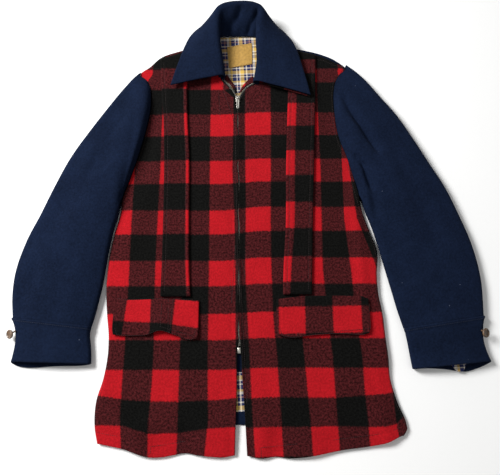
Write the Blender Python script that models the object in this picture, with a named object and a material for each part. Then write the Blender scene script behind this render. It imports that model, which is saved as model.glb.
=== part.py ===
"""A zip-front Norfolk jacket of wool cloth, laid flat on its back with the front up.

Right and left are the wearer's, so the right side is at -X. The collar is at +Y, the floor is Z = 0.
Every table below is in millimetres, and build_mesh() turns it into metres.
"""

import math
from collections import namedtuple

import bmesh
import bpy
import numpy as np

MM = 0.001

# Cloth and seams
MELTON = 3.0
DOUBLE_MELTON = 4.4
FLANNEL = 1.0
TAPE = 0.8
SEAM = 0.3

# Heights above the floor, to the upper face of the cloth
BODY_HEIGHT = 10.0
ROLL_SPLIT = 0.25
STEEP_RISE = 11.0
EASY_RISE = 26.0
SLEEVE_ROLL = 0.36
ARMHOLE_STEPS = (0.0, 0.6, 2.2, 5.0, 9.0)
ARMHOLE_SHARES = (0.0, 0.08, 0.24, 0.48, 0.74)
BOW_ROWS = 5.0
ARMHOLE_GAP = 0.45
CORNER_GAP = 2.8
CORNER_REACH = 0.8

# Fineness of the walls
FRONT_COLUMNS = 12
BACK_COLUMNS = 10
HEM_ROWS = 3
SIDE_ROWS = 12
SHOULDER_ROWS = 5
ROLL_STEPS = 3
SLEEVE_ROWS = 11
SLEEVE_STEPS = 3
STRAP_ROWS = 12
FLAP_COLUMNS = 14
FLAP_ROWS = 5
CUFF_COLUMNS = 8
STAND_STEPS = 2
ROLL_POINTS = 6
LEAF_STEPS = 5
COLLAR_ROWS = 30
ROUND_STEPS = 20
ROD_STEPS = 12

Point = namedtuple("Point", "x y")
Fold = namedtuple("Fold", "x y to_x to_y width height")
Section = namedtuple("Section", "inner_x inner_y outer_x outer_y height")
CollarRow = namedtuple("CollarRow", "seam_x seam_y seam_z roll_x roll_y roll_z edge_x edge_y edge_z")
StrapRow = namedtuple("StrapRow", "outer_x outer_y inner_x inner_y")
Turn = namedtuple("Turn", "radius height")
FlapRow = namedtuple("FlapRow", "along_x top_y bottom_y lift")
Strip = namedtuple("Strip", "x y to_x to_y")
Span = namedtuple("Span", "y x to_x")
Tongue = namedtuple("Tongue", "x y to_x to_y width height")
TabRow = namedtuple("TabRow", "reach width")
Button = namedtuple("Button", "x y z face_x face_y face_z")

# Outline of the right front, from the hem corner round to the zip
RIGHT_SIDE = [Point(-266, -422), Point(-273, -390), Point(-274, -362), Point(-268, -334),
              Point(-260, -294), Point(-257, -252), Point(-262, -212), Point(-266, -175),
              Point(-269, -140), Point(-267, -88), Point(-260, -42), Point(-252, -5), Point(-247, 30)]
RIGHT_ARMHOLE = [Point(-247, 30), Point(-230, 86), Point(-213, 155), Point(-206, 193),
                 Point(-202, 229), Point(-203, 258), Point(-210, 282), Point(-228, 300)]
RIGHT_SHOULDER = [Point(-88, 374), Point(-138, 361), Point(-167, 353), Point(-187, 343),
                  Point(-203, 327), Point(-228, 300)]
RIGHT_NECK = [Point(-59, 287.5), Point(-66, 320), Point(-76, 352), Point(-88, 374)]
RIGHT_EDGE = [Point(-26, -440), Point(-25, -390), Point(-23.4, -340), Point(-23, -290),
              Point(-23, -240), Point(-24.9, 0), Point(-27.7, 216), Point(-29.7, 236),
              Point(-31.6, 248), Point(-36.6, 261), Point(-46.5, 275), Point(-59, 287.5)]
RIGHT_HEM = [Point(-26, -440), Point(-49, -444), Point(-86, -441), Point(-117, -437),
             Point(-150, -444), Point(-174, -444), Point(-219, -431), Point(-266, -422)]

# Outline of the left front
LEFT_SIDE = [Point(268, -409), Point(276, -396), Point(271, -375), Point(256, -335),
             Point(252, -315), Point(251, -282), Point(247, -227), Point(245, -194),
             Point(240, -161), Point(237, -136), Point(241, -106), Point(243, -86),
             Point(233, -46), Point(220, -4), Point(211, 38)]
LEFT_ARMHOLE = [Point(211, 38), Point(203, 70), Point(199, 108), Point(190, 121), Point(183, 142),
                Point(176, 171), Point(172, 209), Point(171, 245), Point(175, 279),
                Point(187, 303), Point(202, 320)]
LEFT_SHOULDER = [Point(50, 376), Point(108, 362), Point(149, 351), Point(178, 337), Point(202, 320)]
LEFT_FRONT_SHOULDER = [Point(48, 369), Point(105, 355.5), Point(147, 344.5), Point(174, 331),
                       Point(198, 313.5)]
LEFT_NECK = [Point(14, 280), Point(26, 310), Point(38, 344), Point(48, 369)]
LEFT_EDGE = [Point(-5, -441), Point(-7.5, -398), Point(-11.5, -340), Point(-15, -290),
             Point(-16.6, -240), Point(-18.6, 0), Point(-21.4, 216), Point(-19.8, 236),
             Point(-17.8, 248), Point(-13, 260), Point(-3.6, 271.5), Point(14, 280)]
LEFT_HEM = [Point(-5, -441), Point(16, -446), Point(45, -443), Point(74, -446), Point(111, -442),
            Point(161, -433), Point(211, -427), Point(244, -420), Point(268, -409)]

# Levels of Y from the underarm to the shoulder corner, close together beside the opened zip
RIGHT_LEVELS = [30, 68, 104, 138, 170, 198, 222, 236, 248, 261, 275, 287.5, 300]
LEFT_LEVELS = [38, 78, 118, 156, 190, 216, 236, 248, 260, 271.5, 280, 300, 320]

BACK_HEM_Y = -390.0
NECK_POINT = 3.0
UNDERARM_FADE = 34.0
CORNER_FADE = 10.0
BACK_NECK_Y = 385.0

# The largest folds of the fronts: ridges are above zero, troughs below
RIGHT_FOLDS = [Fold(-272, -330, -196, -405, 16, 5.0), Fold(-250, -300, -176, -362, 15, -2.5),
               Fold(-196, -440, -176, -385, 20, 3.5), Fold(-117, -445, -112, -395, 20, -3.0),
               Fold(-60, -440, -70, -385, 28, 2.5), Fold(-212, 40, -186, 265, 13, -2.2),
               Fold(-236, -95, -205, 60, 18, 2.0), Fold(-70, -60, -64, 160, 24, 1.2)]
LEFT_FOLDS = [Fold(212, -165, 204, 60, 11, 2.6), Fold(228, -45, 214, 20, 9, -3.2),
              Fold(245, -300, 262, -395, 12, -3.0), Fold(246, -432, 222, -370, 20, 3.5),
              Fold(110, -445, 104, -390, 26, 3.0), Fold(48, -445, 52, -400, 18, -2.5),
              Fold(18, -440, 22, -385, 16, 2.5), Fold(150, 40, 160, 250, 16, -1.4)]

# Sections of the sleeves from just past the armhole to the cuff seam
RIGHT_SLEEVE = [Section(-248.6, 30, -228.6, 300.6, 20), Section(-250.5, 14, -256, 272, 25),
                Section(-254.0, -5, -283, 232, 27), Section(-258.6, -24, -312, 186, 28),
                Section(-262.4, -44, -343, 137, 28), Section(-266.0, -66, -369, 85, 27),
                Section(-269.4, -90, -391, 28, 26), Section(-271.4, -114, -412, -25, 25),
                Section(-274.0, -138, -431, -75, 24), Section(-279.0, -168, -441, -130, 23),
                Section(-284.0, -194, -441, -172, 22), Section(-290.0, -219.5, -436, -203.5, 22)]
LEFT_SLEEVE = [Section(213.0, 38, 202.6, 321, 18), Section(216.4, 22, 231, 296, 22),
               Section(223.0, 2, 258, 260, 24), Section(230.0, -18, 287, 222, 25),
               Section(236.0, -38, 316, 176, 25), Section(242.0, -62, 343, 122, 25),
               Section(248.4, -88, 367, 80, 25), Section(253.6, -112, 388, 36, 24),
               Section(260.0, -138, 408, -20, 23), Section(266.0, -164, 423, -70, 23),
               Section(272.0, -190, 432, -135, 22), Section(281.0, -222.5, 430, -199.5, 22)]

# The largest folds of the sleeves
RIGHT_SLEEVE_FOLDS = [Fold(-262, 246, -300, 60, 12, -2.5), Fold(-236, 205, -262, 20, 11, 2.5),
                      Fold(-330, 60, -392, -60, 14, -2.0), Fold(-296, -60, -330, -190, 15, 1.8),
                      Fold(-400, -120, -424, -190, 10, -2.0)]
LEFT_SLEEVE_FOLDS = [Fold(186, 262, 214, 196, 7, -5.0), Fold(214, 196, 256, 118, 8, -4.5),
                     Fold(208, 112, 237, 70, 6, -5.5), Fold(237, 70, 242, -10, 6, -4.5),
                     Fold(205, 150, 233, 110, 9, 2.0), Fold(232, 190, 282, 60, 13, 2.5),
                     Fold(300, 90, 352, -60, 15, -2.0), Fold(300, -90, 330, -190, 15, 1.6)]

# Sections of the cuffs from their seam to their hem
RIGHT_CUFF = [Section(-291.0, -220.2, -437, -204.2, 23.5), Section(-292.0, -235, -430, -222, 23.0),
              Section(-289.0, -254, -427, -243, 21.0), Section(-287.0, -270, -428, -262, 21.0),
              Section(-286.0, -286, -431, -282, 22.0)]
LEFT_CUFF = [Section(282.0, -223.2, 431, -200.2, 23.5), Section(285.0, -240, 426, -222, 23.0),
             Section(288.0, -262, 425, -243, 21.0), Section(290.0, -279, 429, -264, 21.0),
             Section(292.0, -295, 435, -281, 22.0)]
RIGHT_CUFF_HEM = [0.0, -3.4, -4.6, -5.6, -8.6, -9.2, -4.0]
LEFT_CUFF_HEM = [0.0, -0.6, -3.4, -8.0, -13.6, -9.6, -2.4]

# The collar from its right front end, round the back of the neck, to its left front end
COLLAR = [CollarRow(-64, 288, 10.6, -60, 291, 23.0, -162, 268, 22.5),
          CollarRow(-69, 312, 10.6, -63, 316, 27.0, -155, 294, 22.5),
          CollarRow(-74, 334, 10.6, -67, 342, 31.0, -146, 323, 22.0),
          CollarRow(-80, 355, 10.6, -70, 366, 35.5, -138, 351, 20.5),
          CollarRow(-84, 373, 10.6, -71, 390, 40.0, -128, 378, 18.5),
          CollarRow(-78, 386, 10.0, -70, 412, 44.5, -114, 400, 14.0),
          CollarRow(-62, 391, 9.0, -64, 430, 48.0, -92, 420, 7.5),
          CollarRow(-43, 393, 8.0, -48, 440, 50.0, -60, 436, 1.8),
          CollarRow(-16, 394, 8.0, -16, 443, 50.5, -16, 441, 1.2),
          CollarRow(6, 393, 8.0, 11, 439, 50.0, 24, 433, 1.8),
          CollarRow(25, 391, 9.0, 24, 425, 48.0, 60, 411, 7.5),
          CollarRow(39, 385, 10.0, 22, 402, 44.5, 81, 384, 15.5),
          CollarRow(46, 370, 10.6, 21, 378, 40.0, 94, 357, 20.5),
          CollarRow(41, 348, 10.6, 22, 353, 35.5, 103, 327, 22.0),
          CollarRow(34, 324, 10.6, 23, 328, 31.0, 110, 300, 22.0),
          CollarRow(27, 302, 10.6, 20, 303, 27.0, 117, 272, 22.5),
          CollarRow(19, 281, 10.6, 15, 278, 23.0, 123, 246, 22.5)]
ROLL_RADIUS = 6.5
LEAF_CROWN = 2.0
UNDER_COLLAR_SHOWS = 1.6

# The straps, from the shoulder down to the top of the pocket flap
RIGHT_STRAP = [StrapRow(-187, 334, -133, 354), StrapRow(-181, 256, -129, 256), StrapRow(-175, 197, -126, 197),
               StrapRow(-170, 108, -120, 108), StrapRow(-167, -13, -117, -13),
               StrapRow(-166, -110, -114, -110), StrapRow(-166, -164, -110, -164)]
LEFT_STRAP = [StrapRow(137, 345, 82, 359), StrapRow(134, 256, 78, 256), StrapRow(131, 190, 75, 190),
              StrapRow(126, 86, 71, 86), StrapRow(121, -13, 69, -13), StrapRow(117, -110, 63, -110),
              StrapRow(115, -160, 61, -160)]
STRAP_TURN = 10.0
STRAP_AIR = 0.4
STRAP_CLOTH = 2.6
STRAP_SINK = 0.8

# The pocket flaps, with how far each place of the lower edge stands off the front
RIGHT_FLAP = [FlapRow(-251, -167, -234, 2.0), FlapRow(-222, -170, -236, 0.8),
              FlapRow(-192, -169, -235, 1.5), FlapRow(-163, -168, -227, 6.5),
              FlapRow(-140, -169, -233, 3.0), FlapRow(-107, -171, -243, 0.8),
              FlapRow(-94, -171, -241, 2.5)]
LEFT_FLAP = [FlapRow(49, -168, -235, 1.5), FlapRow(78, -165, -239, 0.8),
             FlapRow(109, -162, -235, 1.5), FlapRow(159, -162, -232, 1.0),
             FlapRow(205, -163, -234, 1.0), FlapRow(219, -168, -231, 2.0)]
FLAP_SEAT = 0.5

# Under collar, facings, lining and label
UNDER_COLLAR_FROM_ROW = 23
UNDER_COLLAR_CLOTH = 1.8
RIGHT_FACING = [Strip(-28.4, 258.5, -27.4, 263), Strip(-34.0, 268.2, -31, 276),
                Strip(-42.0, 280.6, -39, 290), Strip(-53.0, 292.6, -48, 305)]
LEFT_FACING = [Strip(-21.4, 258.5, -22.0, 263), Strip(-15.0, 267.6, -17, 275),
               Strip(-6.0, 276.6, -8, 287), Strip(9.8, 285.2, 5, 301)]
FACING_CLOTH = 1.6
FACING_TOP = 9.2
FACING_LOW = 6.4
NECK_LINING = [Span(240, -60, 10), Span(290, -58, 12), Span(330, -65, 28), Span(360, -74, 41),
               Span(384, -77, 42), Span(391.5, -69, 28)]
NECK_LINING_Z = 4.3
NECK_LINING_RISE = 2.6
NECK_LINING_RISE_FROM = 325
NECK_LINING_RISE_OVER = 66
LABEL_CORNERS = [(-44, 319), (4.5, 329), (3.5, 378), (-48.5, 369)]
LABEL_THICK = 0.7
HEM_LINING = [Point(-48, -300), Point(22, -368)]
CUFF_LINING = Tongue(372, -262, 378, -299, 20, 3.4)

# The zip
ZIP_HALF_WIDTH = 2.4
ZIP_CHAIN_HEIGHT = 2.6
ZIP_CHAIN_FLOOR = 6.85
ZIP_TAPE_FLOOR = 5.7
ZIP_TAPE_WIDTH = 12.0
TAPE_INSIDE = 0.9
TAPE_BELOW_STOP = 6.0
ZIP_STOP_Y = -262.0
ZIP_STOP = Strip(-22.4, -267, -17.1, -256.6)
ZIP_STOP_HEIGHT = 3.0
RIGHT_CHAIN = [Point(-21.15, -256), Point(-23.15, 0), Point(-26.1, 225), Point(-26.4, 240),
               Point(-29.8, 254), Point(-36, 265), Point(-44.2, 277.2), Point(-55.5, 290.5)]
LEFT_CHAIN = [Point(-18.45, -256), Point(-20.45, 0), Point(-23.4, 225), Point(-23.3, 240),
              Point(-20, 254), Point(-13.8, 264.2), Point(-4.8, 274.4), Point(11, 283.4)]
SLIDER_X = -24.8
SLIDER_Y = 245.0
SLIDER_LENGTH = 14.0
SLIDER_WIDTH = 8.8
SLIDER_PLATE = 1.4
SLIDER_FLOOR = 9.8
SLIDER_FLANGE = 1.2
SLIDER_FLANGE_LENGTH = 3.0
SLIDER_FLANGE_FLOOR = 7.2
EAR_REACH = 3.4
EAR_WIDTH = 1.2
EAR_LENGTH = 3.6
EAR_OVER_PIN = 1.3
PLATE_OVERLAP = 0.5
PIN_SHORT = 0.4
PIN_HEIGHT = 13.7
PIN_RADIUS = 0.8
PIN_PLAY = 0.35
EYE_RADIUS = 1.9
TAB_LENGTH = 23.0
TAB_THICK = 1.2
TAB_TIP_HEIGHT = 11.4
TAB_ROWS = [TabRow(1.4, 3.6), TabRow(4.0, 3.6), TabRow(7.0, 5.0), TabRow(20.0, 5.6), TabRow(22.4, 4.6),
            TabRow(23.0, 3.4)]

# Buttons at the outer edges of the cuffs: the middle of the back, and the way it faces
RIGHT_BUTTON = Button(-435.0, -233.0, 12.3, -0.50, -0.14, 0.855)
LEFT_BUTTON = Button(425.6, -231.0, 17.0, 0.50, -0.14, 0.855)
# The end of each button's link, on top of the cuff
RIGHT_LINK_END = (-424.5, -227.5, 17.9)
LEFT_LINK_END = (418.8, -226.5, 18.6)
LINK_SINK = 0.8
BUTTON_PROFILE = [Turn(5.4, 0.0), Turn(8.0, 0.9), Turn(8.5, 2.2), Turn(8.2, 3.4), Turn(7.2, 4.0),
                  Turn(6.2, 3.5), Turn(5.4, 2.9), Turn(1.2, 2.6)]
LINK_RADIUS = 1.5

# Colours, as sRGB
NAVY = (0.105, 0.145, 0.262)
CHECK_RED = (0.62, 0.11, 0.14)
LINING_BUFF = (0.74, 0.66, 0.54)
LABEL_GOLD = (0.74, 0.58, 0.31)
SILVER = (0.72, 0.71, 0.68)
HORN = (0.42, 0.35, 0.27)
BLACK_TAPE = (0.03, 0.03, 0.035)


# Interpolation

def smooth(places, values, at):
    """Values at the given places on a smooth line through a table, which never overshoots it."""
    places = np.asarray(places, float)
    values = np.asarray(values, float)
    at = np.clip(np.asarray(at, float), places[0], places[-1])
    step = np.diff(places)
    slope = np.diff(values) / step
    tangent = np.zeros(len(places))
    for i in range(1, len(places) - 1):
        if slope[i - 1] * slope[i] > 0:
            first = 2 * step[i] + step[i - 1]
            second = step[i] + 2 * step[i - 1]
            tangent[i] = (first + second) / (first / slope[i - 1] + second / slope[i])
    tangent[0] = slope[0]
    tangent[-1] = slope[-1]
    i = np.clip(np.searchsorted(places, at, side="right") - 1, 0, len(step) - 1)
    t = (at - places[i]) / step[i]
    return (values[i] * (1 + 2 * t) * (1 - t) ** 2 + tangent[i] * step[i] * t * (1 - t) ** 2
            + values[i + 1] * t * t * (3 - 2 * t) + tangent[i + 1] * step[i] * t * t * (t - 1))


def along(points, fractions):
    """Points at the given fractions of the length of a smooth line through a table of points."""
    table = np.array(points, float)
    length = np.concatenate([[0], np.cumsum(np.linalg.norm(np.diff(table, axis=0), axis=1))])
    places = np.asarray(fractions, float) * length[-1]
    return np.stack([smooth(length, table[:, k], places) for k in range(table.shape[1])], axis=-1)


def column_of(rows, name):
    """One named column of a table."""
    return np.array([getattr(row, name) for row in rows], float)


def blend(start, end, amount):
    """Mixes two arrays of points by amounts from 0 to 1."""
    amount = np.asarray(amount, float)[..., None]
    return start * (1 - amount) + end * amount


def ease(amount):
    """A soft step from 0 to 1."""
    amount = np.clip(amount, 0, 1)
    return amount * amount * (3 - 2 * amount)


def fold_height(folds, x, y):
    """Sum of the soft ridges and troughs of a table of folds at places x, y."""
    total = np.zeros(np.shape(x))
    for fold in folds:
        along_x = fold.to_x - fold.x
        along_y = fold.to_y - fold.y
        length = math.hypot(along_x, along_y)
        t = ((x - fold.x) * along_x + (y - fold.y) * along_y) / length ** 2
        off = ((x - fold.x) * along_y - (y - fold.y) * along_x) / length
        ends = ease((t + 0.25) / 0.4) * ease((1.25 - t) / 0.4)
        total += fold.height * ends * np.exp(-(off / fold.width) ** 2)
    return total


# Solids

def build_mesh(name, points, faces, colour, metallic=0.0, roughness=0.9):
    """Makes a named object from points in millimetres, with its own material."""
    mesh = bpy.data.meshes.new(name)
    scaled = np.array(points, float) * MM
    mesh.from_pydata([tuple(p) for p in scaled], [], faces)
    shape = bmesh.new()
    shape.from_mesh(mesh)
    bmesh.ops.triangulate(shape, faces=shape.faces[:])
    bmesh.ops.recalc_face_normals(shape, faces=shape.faces[:])
    shape.to_mesh(mesh)
    shape.free()
    mesh.shade_smooth()
    mesh.set_sharp_from_angle(angle=math.radians(50))
    item = bpy.data.objects.new(name, mesh)
    bpy.context.collection.objects.link(item)
    material = bpy.data.materials.new(name)
    material.use_nodes = True
    shader = material.node_tree.nodes["Principled BSDF"]
    linear = [((c + 0.055) / 1.055) ** 2.4 if c > 0.04 else c / 12.92 for c in colour]
    shader.inputs["Base Color"].default_value = (*linear, 1.0)
    shader.inputs["Metallic"].default_value = metallic
    shader.inputs["Roughness"].default_value = roughness
    mesh.materials.append(material)
    return item


def line_directions(grid, axis):
    """Unit directions along the lines of a grid, which at a line's end turn on as it last turned."""
    chord = np.diff(np.moveaxis(grid, axis, 0), axis=0)
    chord /= np.linalg.norm(chord, axis=-1, keepdims=True)
    first = 1.5 * chord[:1] - 0.5 * chord[1:2]
    last = 1.5 * chord[-1:] - 0.5 * chord[-2:-1]
    run = np.concatenate([first, chord[:-1] + chord[1:], last])
    run /= np.linalg.norm(run, axis=-1, keepdims=True)
    return np.moveaxis(run, 0, axis)


def surface_normals(grid):
    """Unit normals of a grid of points, from the two lines that cross at each point."""
    normal = np.cross(line_directions(grid, 1), line_directions(grid, 0))
    return normal / np.linalg.norm(normal, axis=2, keepdims=True)


def wall(name, grid, thickness, colour, faces_up=True):
    """A wall of cloth: the grid is its outer face, and the inner face lies a thickness behind it."""
    normal = surface_normals(grid)
    middle = normal[normal.shape[0] // 2, normal.shape[1] // 2, 2]
    if (middle > 0) != faces_up:
        normal = -normal
    inner = grid - normal * thickness
    rows, columns = grid.shape[:2]
    count = rows * columns
    points = np.concatenate([grid.reshape(-1, 3), inner.reshape(-1, 3)])
    faces = []
    for i in range(rows - 1):
        for j in range(columns - 1):
            a = i * columns + j
            faces.append((a, a + 1, a + columns + 1, a + columns))
            b = a + count
            faces.append((b, b + columns, b + columns + 1, b + 1))
    rim = [j for j in range(columns)]
    rim += [i * columns + columns - 1 for i in range(1, rows)]
    rim += [(rows - 1) * columns + j for j in range(columns - 2, -1, -1)]
    rim += [i * columns for i in range(rows - 2, 0, -1)]
    for k, first in enumerate(rim):
        second = rim[(k + 1) % len(rim)]
        faces.append((first, first + count, second + count, second))
    return build_mesh(name, points, faces, colour)


def swept(name, rings, colour, metallic=0.0, roughness=0.9):
    """A closed section carried along a row of places, with its two ends capped."""
    rows, columns = rings.shape[:2]
    faces = []
    for i in range(rows - 1):
        for j in range(columns):
            k = (j + 1) % columns
            faces.append((i * columns + j, i * columns + k, (i + 1) * columns + k, (i + 1) * columns + j))
    faces.append(tuple(range(columns - 1, -1, -1)))
    faces.append(tuple((rows - 1) * columns + j for j in range(columns)))
    return build_mesh(name, rings.reshape(-1, 3), faces, colour, metallic, roughness)


def tube(name, outer, inner, colour):
    """A tube of cloth, open at both ends, from rings of outer and inner points."""
    rows, columns = outer.shape[:2]
    count = rows * columns
    points = np.concatenate([outer.reshape(-1, 3), inner.reshape(-1, 3)])
    faces = []
    for j in range(columns):
        k = (j + 1) % columns
        for i in range(rows - 1):
            a = i * columns
            b = a + columns
            faces.append((a + j, a + k, b + k, b + j))
            faces.append((count + a + j, count + b + j, count + b + k, count + a + k))
        last = (rows - 1) * columns
        faces.append((j, count + j, count + k, k))
        faces.append((last + j, last + k, count + last + k, count + last + j))
    return build_mesh(name, points, faces, colour)


# The body

def front_height(side, x, y):
    """Height of the upper face of a front above the floor."""
    x = np.asarray(x, float)
    y = np.asarray(y, float)
    hem = smooth([-450, -415, -370, -300], [6.0, 8.0, 9.6, BODY_HEIGHT], y)
    folds = RIGHT_FOLDS if side < 0 else LEFT_FOLDS
    height = hem + fold_height(folds, x, y)
    lowest = smooth([-450, -405, -385, -300], [3.6, 4.6, 7.0, 7.4], y)
    return lowest + np.logaddexp(0, (height - lowest) * 1.5) / 1.5


def edge_x(table, levels):
    """Where a line of the outline crosses the given levels of Y."""
    return smooth(column_of(table, "y"), column_of(table, "x"), levels)


def outward(table, levels, side):
    """Unit directions out of a panel, in plan, where its outline crosses the given levels of Y."""
    below = np.clip(levels - 1, table[0].y, table[-1].y - 1)
    above = np.clip(levels + 1, table[0].y + 1, table[-1].y)
    slope = (edge_x(table, above) - edge_x(table, below)) / (above - below)
    away = np.stack([np.ones(len(levels)), -slope], axis=1) * side
    return away / np.linalg.norm(away, axis=1, keepdims=True)


def side_rows(side, levels, border, armhole, shoulder, rolls):
    """Places, outward directions and roll angles of a panel's outer edge at the given levels of Y."""
    corner = armhole[-1].y
    low = border + armhole[1:]
    high = sorted(shoulder, key=lambda p: p.y)
    x = np.where(levels <= corner, edge_x(low, levels), edge_x(high, levels))
    above = ease((levels - corner + 0.5) / 1.0)[:, None]
    away = outward(low, levels, side) * (1 - above) + outward(high, levels, side) * above
    away /= np.linalg.norm(away, axis=1, keepdims=True)
    angle = rolls[0] * (1 - ease((levels - armhole[0].y + UNDERARM_FADE) / UNDERARM_FADE))
    angle += rolls[1] * ease((levels - corner) / CORNER_FADE)
    return np.stack([x, levels], axis=1), away, angle


def panel_levels(side, armhole, top):
    """Levels of Y of a panel's outer edge: side seam, armhole and shoulder."""
    levels = np.array(RIGHT_LEVELS if side < 0 else LEFT_LEVELS, float)
    corner = armhole[-1].y
    border = np.linspace(BACK_HEM_Y, levels[0], SIDE_ROWS)[:-1]
    rise = np.sin(np.linspace(0, math.pi / 2, SHOULDER_ROWS + 1))[1:]
    return np.concatenate([border, np.minimum(levels, corner), corner + (top - corner) * rise])


def edge_height(side, edge, away):
    """Height of a front just inside the roll of its outer edge."""
    inside = edge - away * BODY_HEIGHT / 2
    return front_height(side, inside[:, 0], inside[:, 1])


def roll_columns(edge, away, angle, height, upper):
    """Points of a panel's edge as it rolls towards its seam, one column for each step of the roll."""
    radius = height / 2
    half = radius - ROLL_SPLIT
    columns = []
    for k in range(1, ROLL_STEPS + 1):
        share = k / ROLL_STEPS
        turn = angle * share
        bend = np.clip(angle / (math.pi / 2), 0, 1)
        reach = radius * (np.sin(turn) * bend + share * (1 - bend))
        place = edge - away * (radius - reach)[:, None]
        drop = half * (1 - np.cos(turn))
        z = height - drop if upper else drop
        columns.append(np.concatenate([place, z[:, None]], axis=1))
    return columns


def front_tables(side):
    """The outline of a front: hem, zip edge, side, armhole, neck and shoulder."""
    if side < 0:
        return RIGHT_HEM, RIGHT_EDGE, RIGHT_SIDE, RIGHT_ARMHOLE, RIGHT_NECK, RIGHT_SHOULDER
    armhole = LEFT_ARMHOLE[:-1] + [LEFT_FRONT_SHOULDER[-1]]
    return LEFT_HEM, LEFT_EDGE, LEFT_SIDE, armhole, LEFT_NECK, LEFT_FRONT_SHOULDER


def front_grid(side):
    """Outer face of a front: rows from the hem to the neck, columns from the zip to the side."""
    hem, edge, border, armhole, neck, shoulder = front_tables(side)
    rolls = (math.pi / 2, math.pi / 2 if side < 0 else 0.0)
    levels = panel_levels(side, armhole, neck[-1].y - NECK_POINT)
    steps = np.linspace(0, 1, HEM_ROWS + 1)[:-1]
    outer_y = np.concatenate([border[0].y * (1 - steps) + levels[0] * steps, levels])
    inner_y = np.concatenate([edge[0].y * (1 - steps) + levels[0] * steps, levels])
    bow = np.concatenate([1 - steps, np.zeros(len(levels))])
    middle = edge + neck[1:]
    inner = np.stack([edge_x(middle, inner_y), inner_y], axis=1)
    outer, away, angle = side_rows(side, outer_y, border, armhole, shoulder, rolls)
    height = edge_height(side, outer, away)
    flat_edge = outer - away * height[:, None] / 2
    u = np.linspace(0, 1, FRONT_COLUMNS)
    grid = blend(inner[:, None], flat_edge[:, None], u[None, :])
    hem_table = sorted(hem, key=lambda p: p.x)
    hem_y = smooth(column_of(hem_table, "x"), column_of(hem_table, "y"), grid[..., 0])
    chord = hem[0].y + (hem[-1].y - hem[0].y) * u
    grid[..., 1] += (hem_y - chord) * bow[:, None]
    z = front_height(side, grid[..., 0], grid[..., 1])
    z[:, -1] = height
    grid = np.concatenate([grid, z[..., None]], axis=2)
    rolled = roll_columns(outer, away, angle, height, True)
    return np.concatenate([grid] + [column[:, None] for column in rolled], axis=1)


def back_side(side):
    """Outer edge of the back on one side, and the height of the front that meets it there."""
    border = RIGHT_SIDE if side < 0 else LEFT_SIDE
    armhole = RIGHT_ARMHOLE if side < 0 else LEFT_ARMHOLE
    shoulder = RIGHT_SHOULDER if side < 0 else LEFT_SHOULDER
    levels = panel_levels(side, armhole, shoulder[0].y - NECK_POINT)
    rolls = (math.pi / 2, math.pi / 2 if side < 0 else math.pi)
    points, away, angle = side_rows(side, levels, border, armhole, shoulder, rolls)
    height = edge_height(side, points, away)
    rolled = roll_columns(points, away, angle, height, False)
    return points - away * height[:, None] / 2, levels, rolled


def back_grid():
    """Outer, lower face of the back: rows from the hem to the neck, columns from right to left."""
    right, levels, right_roll = back_side(-1)
    left, _, left_roll = back_side(1)
    u = np.linspace(0, 1, BACK_COLUMNS)
    grid = blend(right[:, None], left[:, None], u[None, :])
    neck_rise = ease((levels - levels[-2]) / (levels[-1] - levels[-2]))
    grid[..., 1] += (BACK_NECK_Y - levels[-1]) * neck_rise[:, None] * np.sin(math.pi * u)[None, :]
    grid = np.concatenate([grid, np.zeros(grid.shape[:2] + (1,))], axis=2)
    columns = [column[:, None] for column in reversed(right_roll)] + [grid]
    columns += [column[:, None] for column in left_roll]
    return np.concatenate(columns, axis=1)


# Straps and pocket flaps

def strap_rings(side):
    """Section of a strap, with its two edges turned under, at places down the front."""
    table = RIGHT_STRAP if side < 0 else LEFT_STRAP
    shares = np.linspace(1, 0, STRAP_ROWS)
    outer = along([(row.outer_x, row.outer_y) for row in table], shares)
    inner = along([(row.inner_x, row.inner_y) for row in table], shares)
    rings = []
    for one, two in zip(*((outer, inner) if side < 0 else (inner, outer))):
        half = (two[0] - one[0]) / 2
        section = strap_section(half)
        share = section[:, :1] / half / 2 + 0.5
        place = one * (1 - share) + two * share
        z = front_height(side, place[:, 0], place[:, 1]) + section[:, 1]
        rings.append(np.concatenate([place, z[:, None]], axis=1))
    return np.array(rings)


def strap_section(half):
    """Closed section of a strap: its face, and an edge turned under on each side."""
    cloth = STRAP_CLOTH
    bend = cloth + STRAP_AIR / 2
    centre = SEAM + bend
    crown = SEAM + 2 * bend
    outer = []
    inner = []
    for turn in np.linspace(-math.pi / 2, math.pi / 2, 2 * ROLL_STEPS + 1):
        outer.append((half - bend + bend * math.cos(turn), centre + bend * math.sin(turn)))
        inner.append((half - bend + STRAP_AIR / 2 * math.cos(turn), centre + STRAP_AIR / 2 * math.sin(turn)))
    sink = STRAP_SINK
    right = [(half - bend - STRAP_TURN, SEAM)] + outer + [(half / 2, crown - sink / 2), (0, crown - sink)]
    left = [(-x, z) for x, z in reversed(right[:-1])]
    under_right = [(half - bend - STRAP_TURN, SEAM + cloth)] + inner
    under_right += [(half / 2, crown - cloth - sink / 2), (0, crown - cloth - sink)]
    under_left = [(-x, z) for x, z in reversed(under_right[:-1])]
    return np.array(right + left + list(reversed(under_left)) + list(reversed(under_right)))


def flap_grid(side):
    """Outer face of a pocket flap: rows from its lower edge to its seam."""
    table = RIGHT_FLAP if side < 0 else LEFT_FLAP
    across = column_of(table, "along_x")
    x = np.linspace(across[0], across[-1], FLAP_COLUMNS)
    top = smooth(across, column_of(table, "top_y"), x)
    bottom = smooth(across, column_of(table, "bottom_y"), x)
    lift = smooth(across, column_of(table, "lift"), x)
    v = np.linspace(0, 1, FLAP_ROWS)[:, None]
    y = bottom * (1 - v) + top * v
    x = np.broadcast_to(x, y.shape)
    z = front_height(side, x, y) + FLAP_SEAT + DOUBLE_MELTON + lift * (1 - v) ** 1.5
    return np.stack([x, y, z], axis=2)


# Sleeves and cuffs

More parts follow.
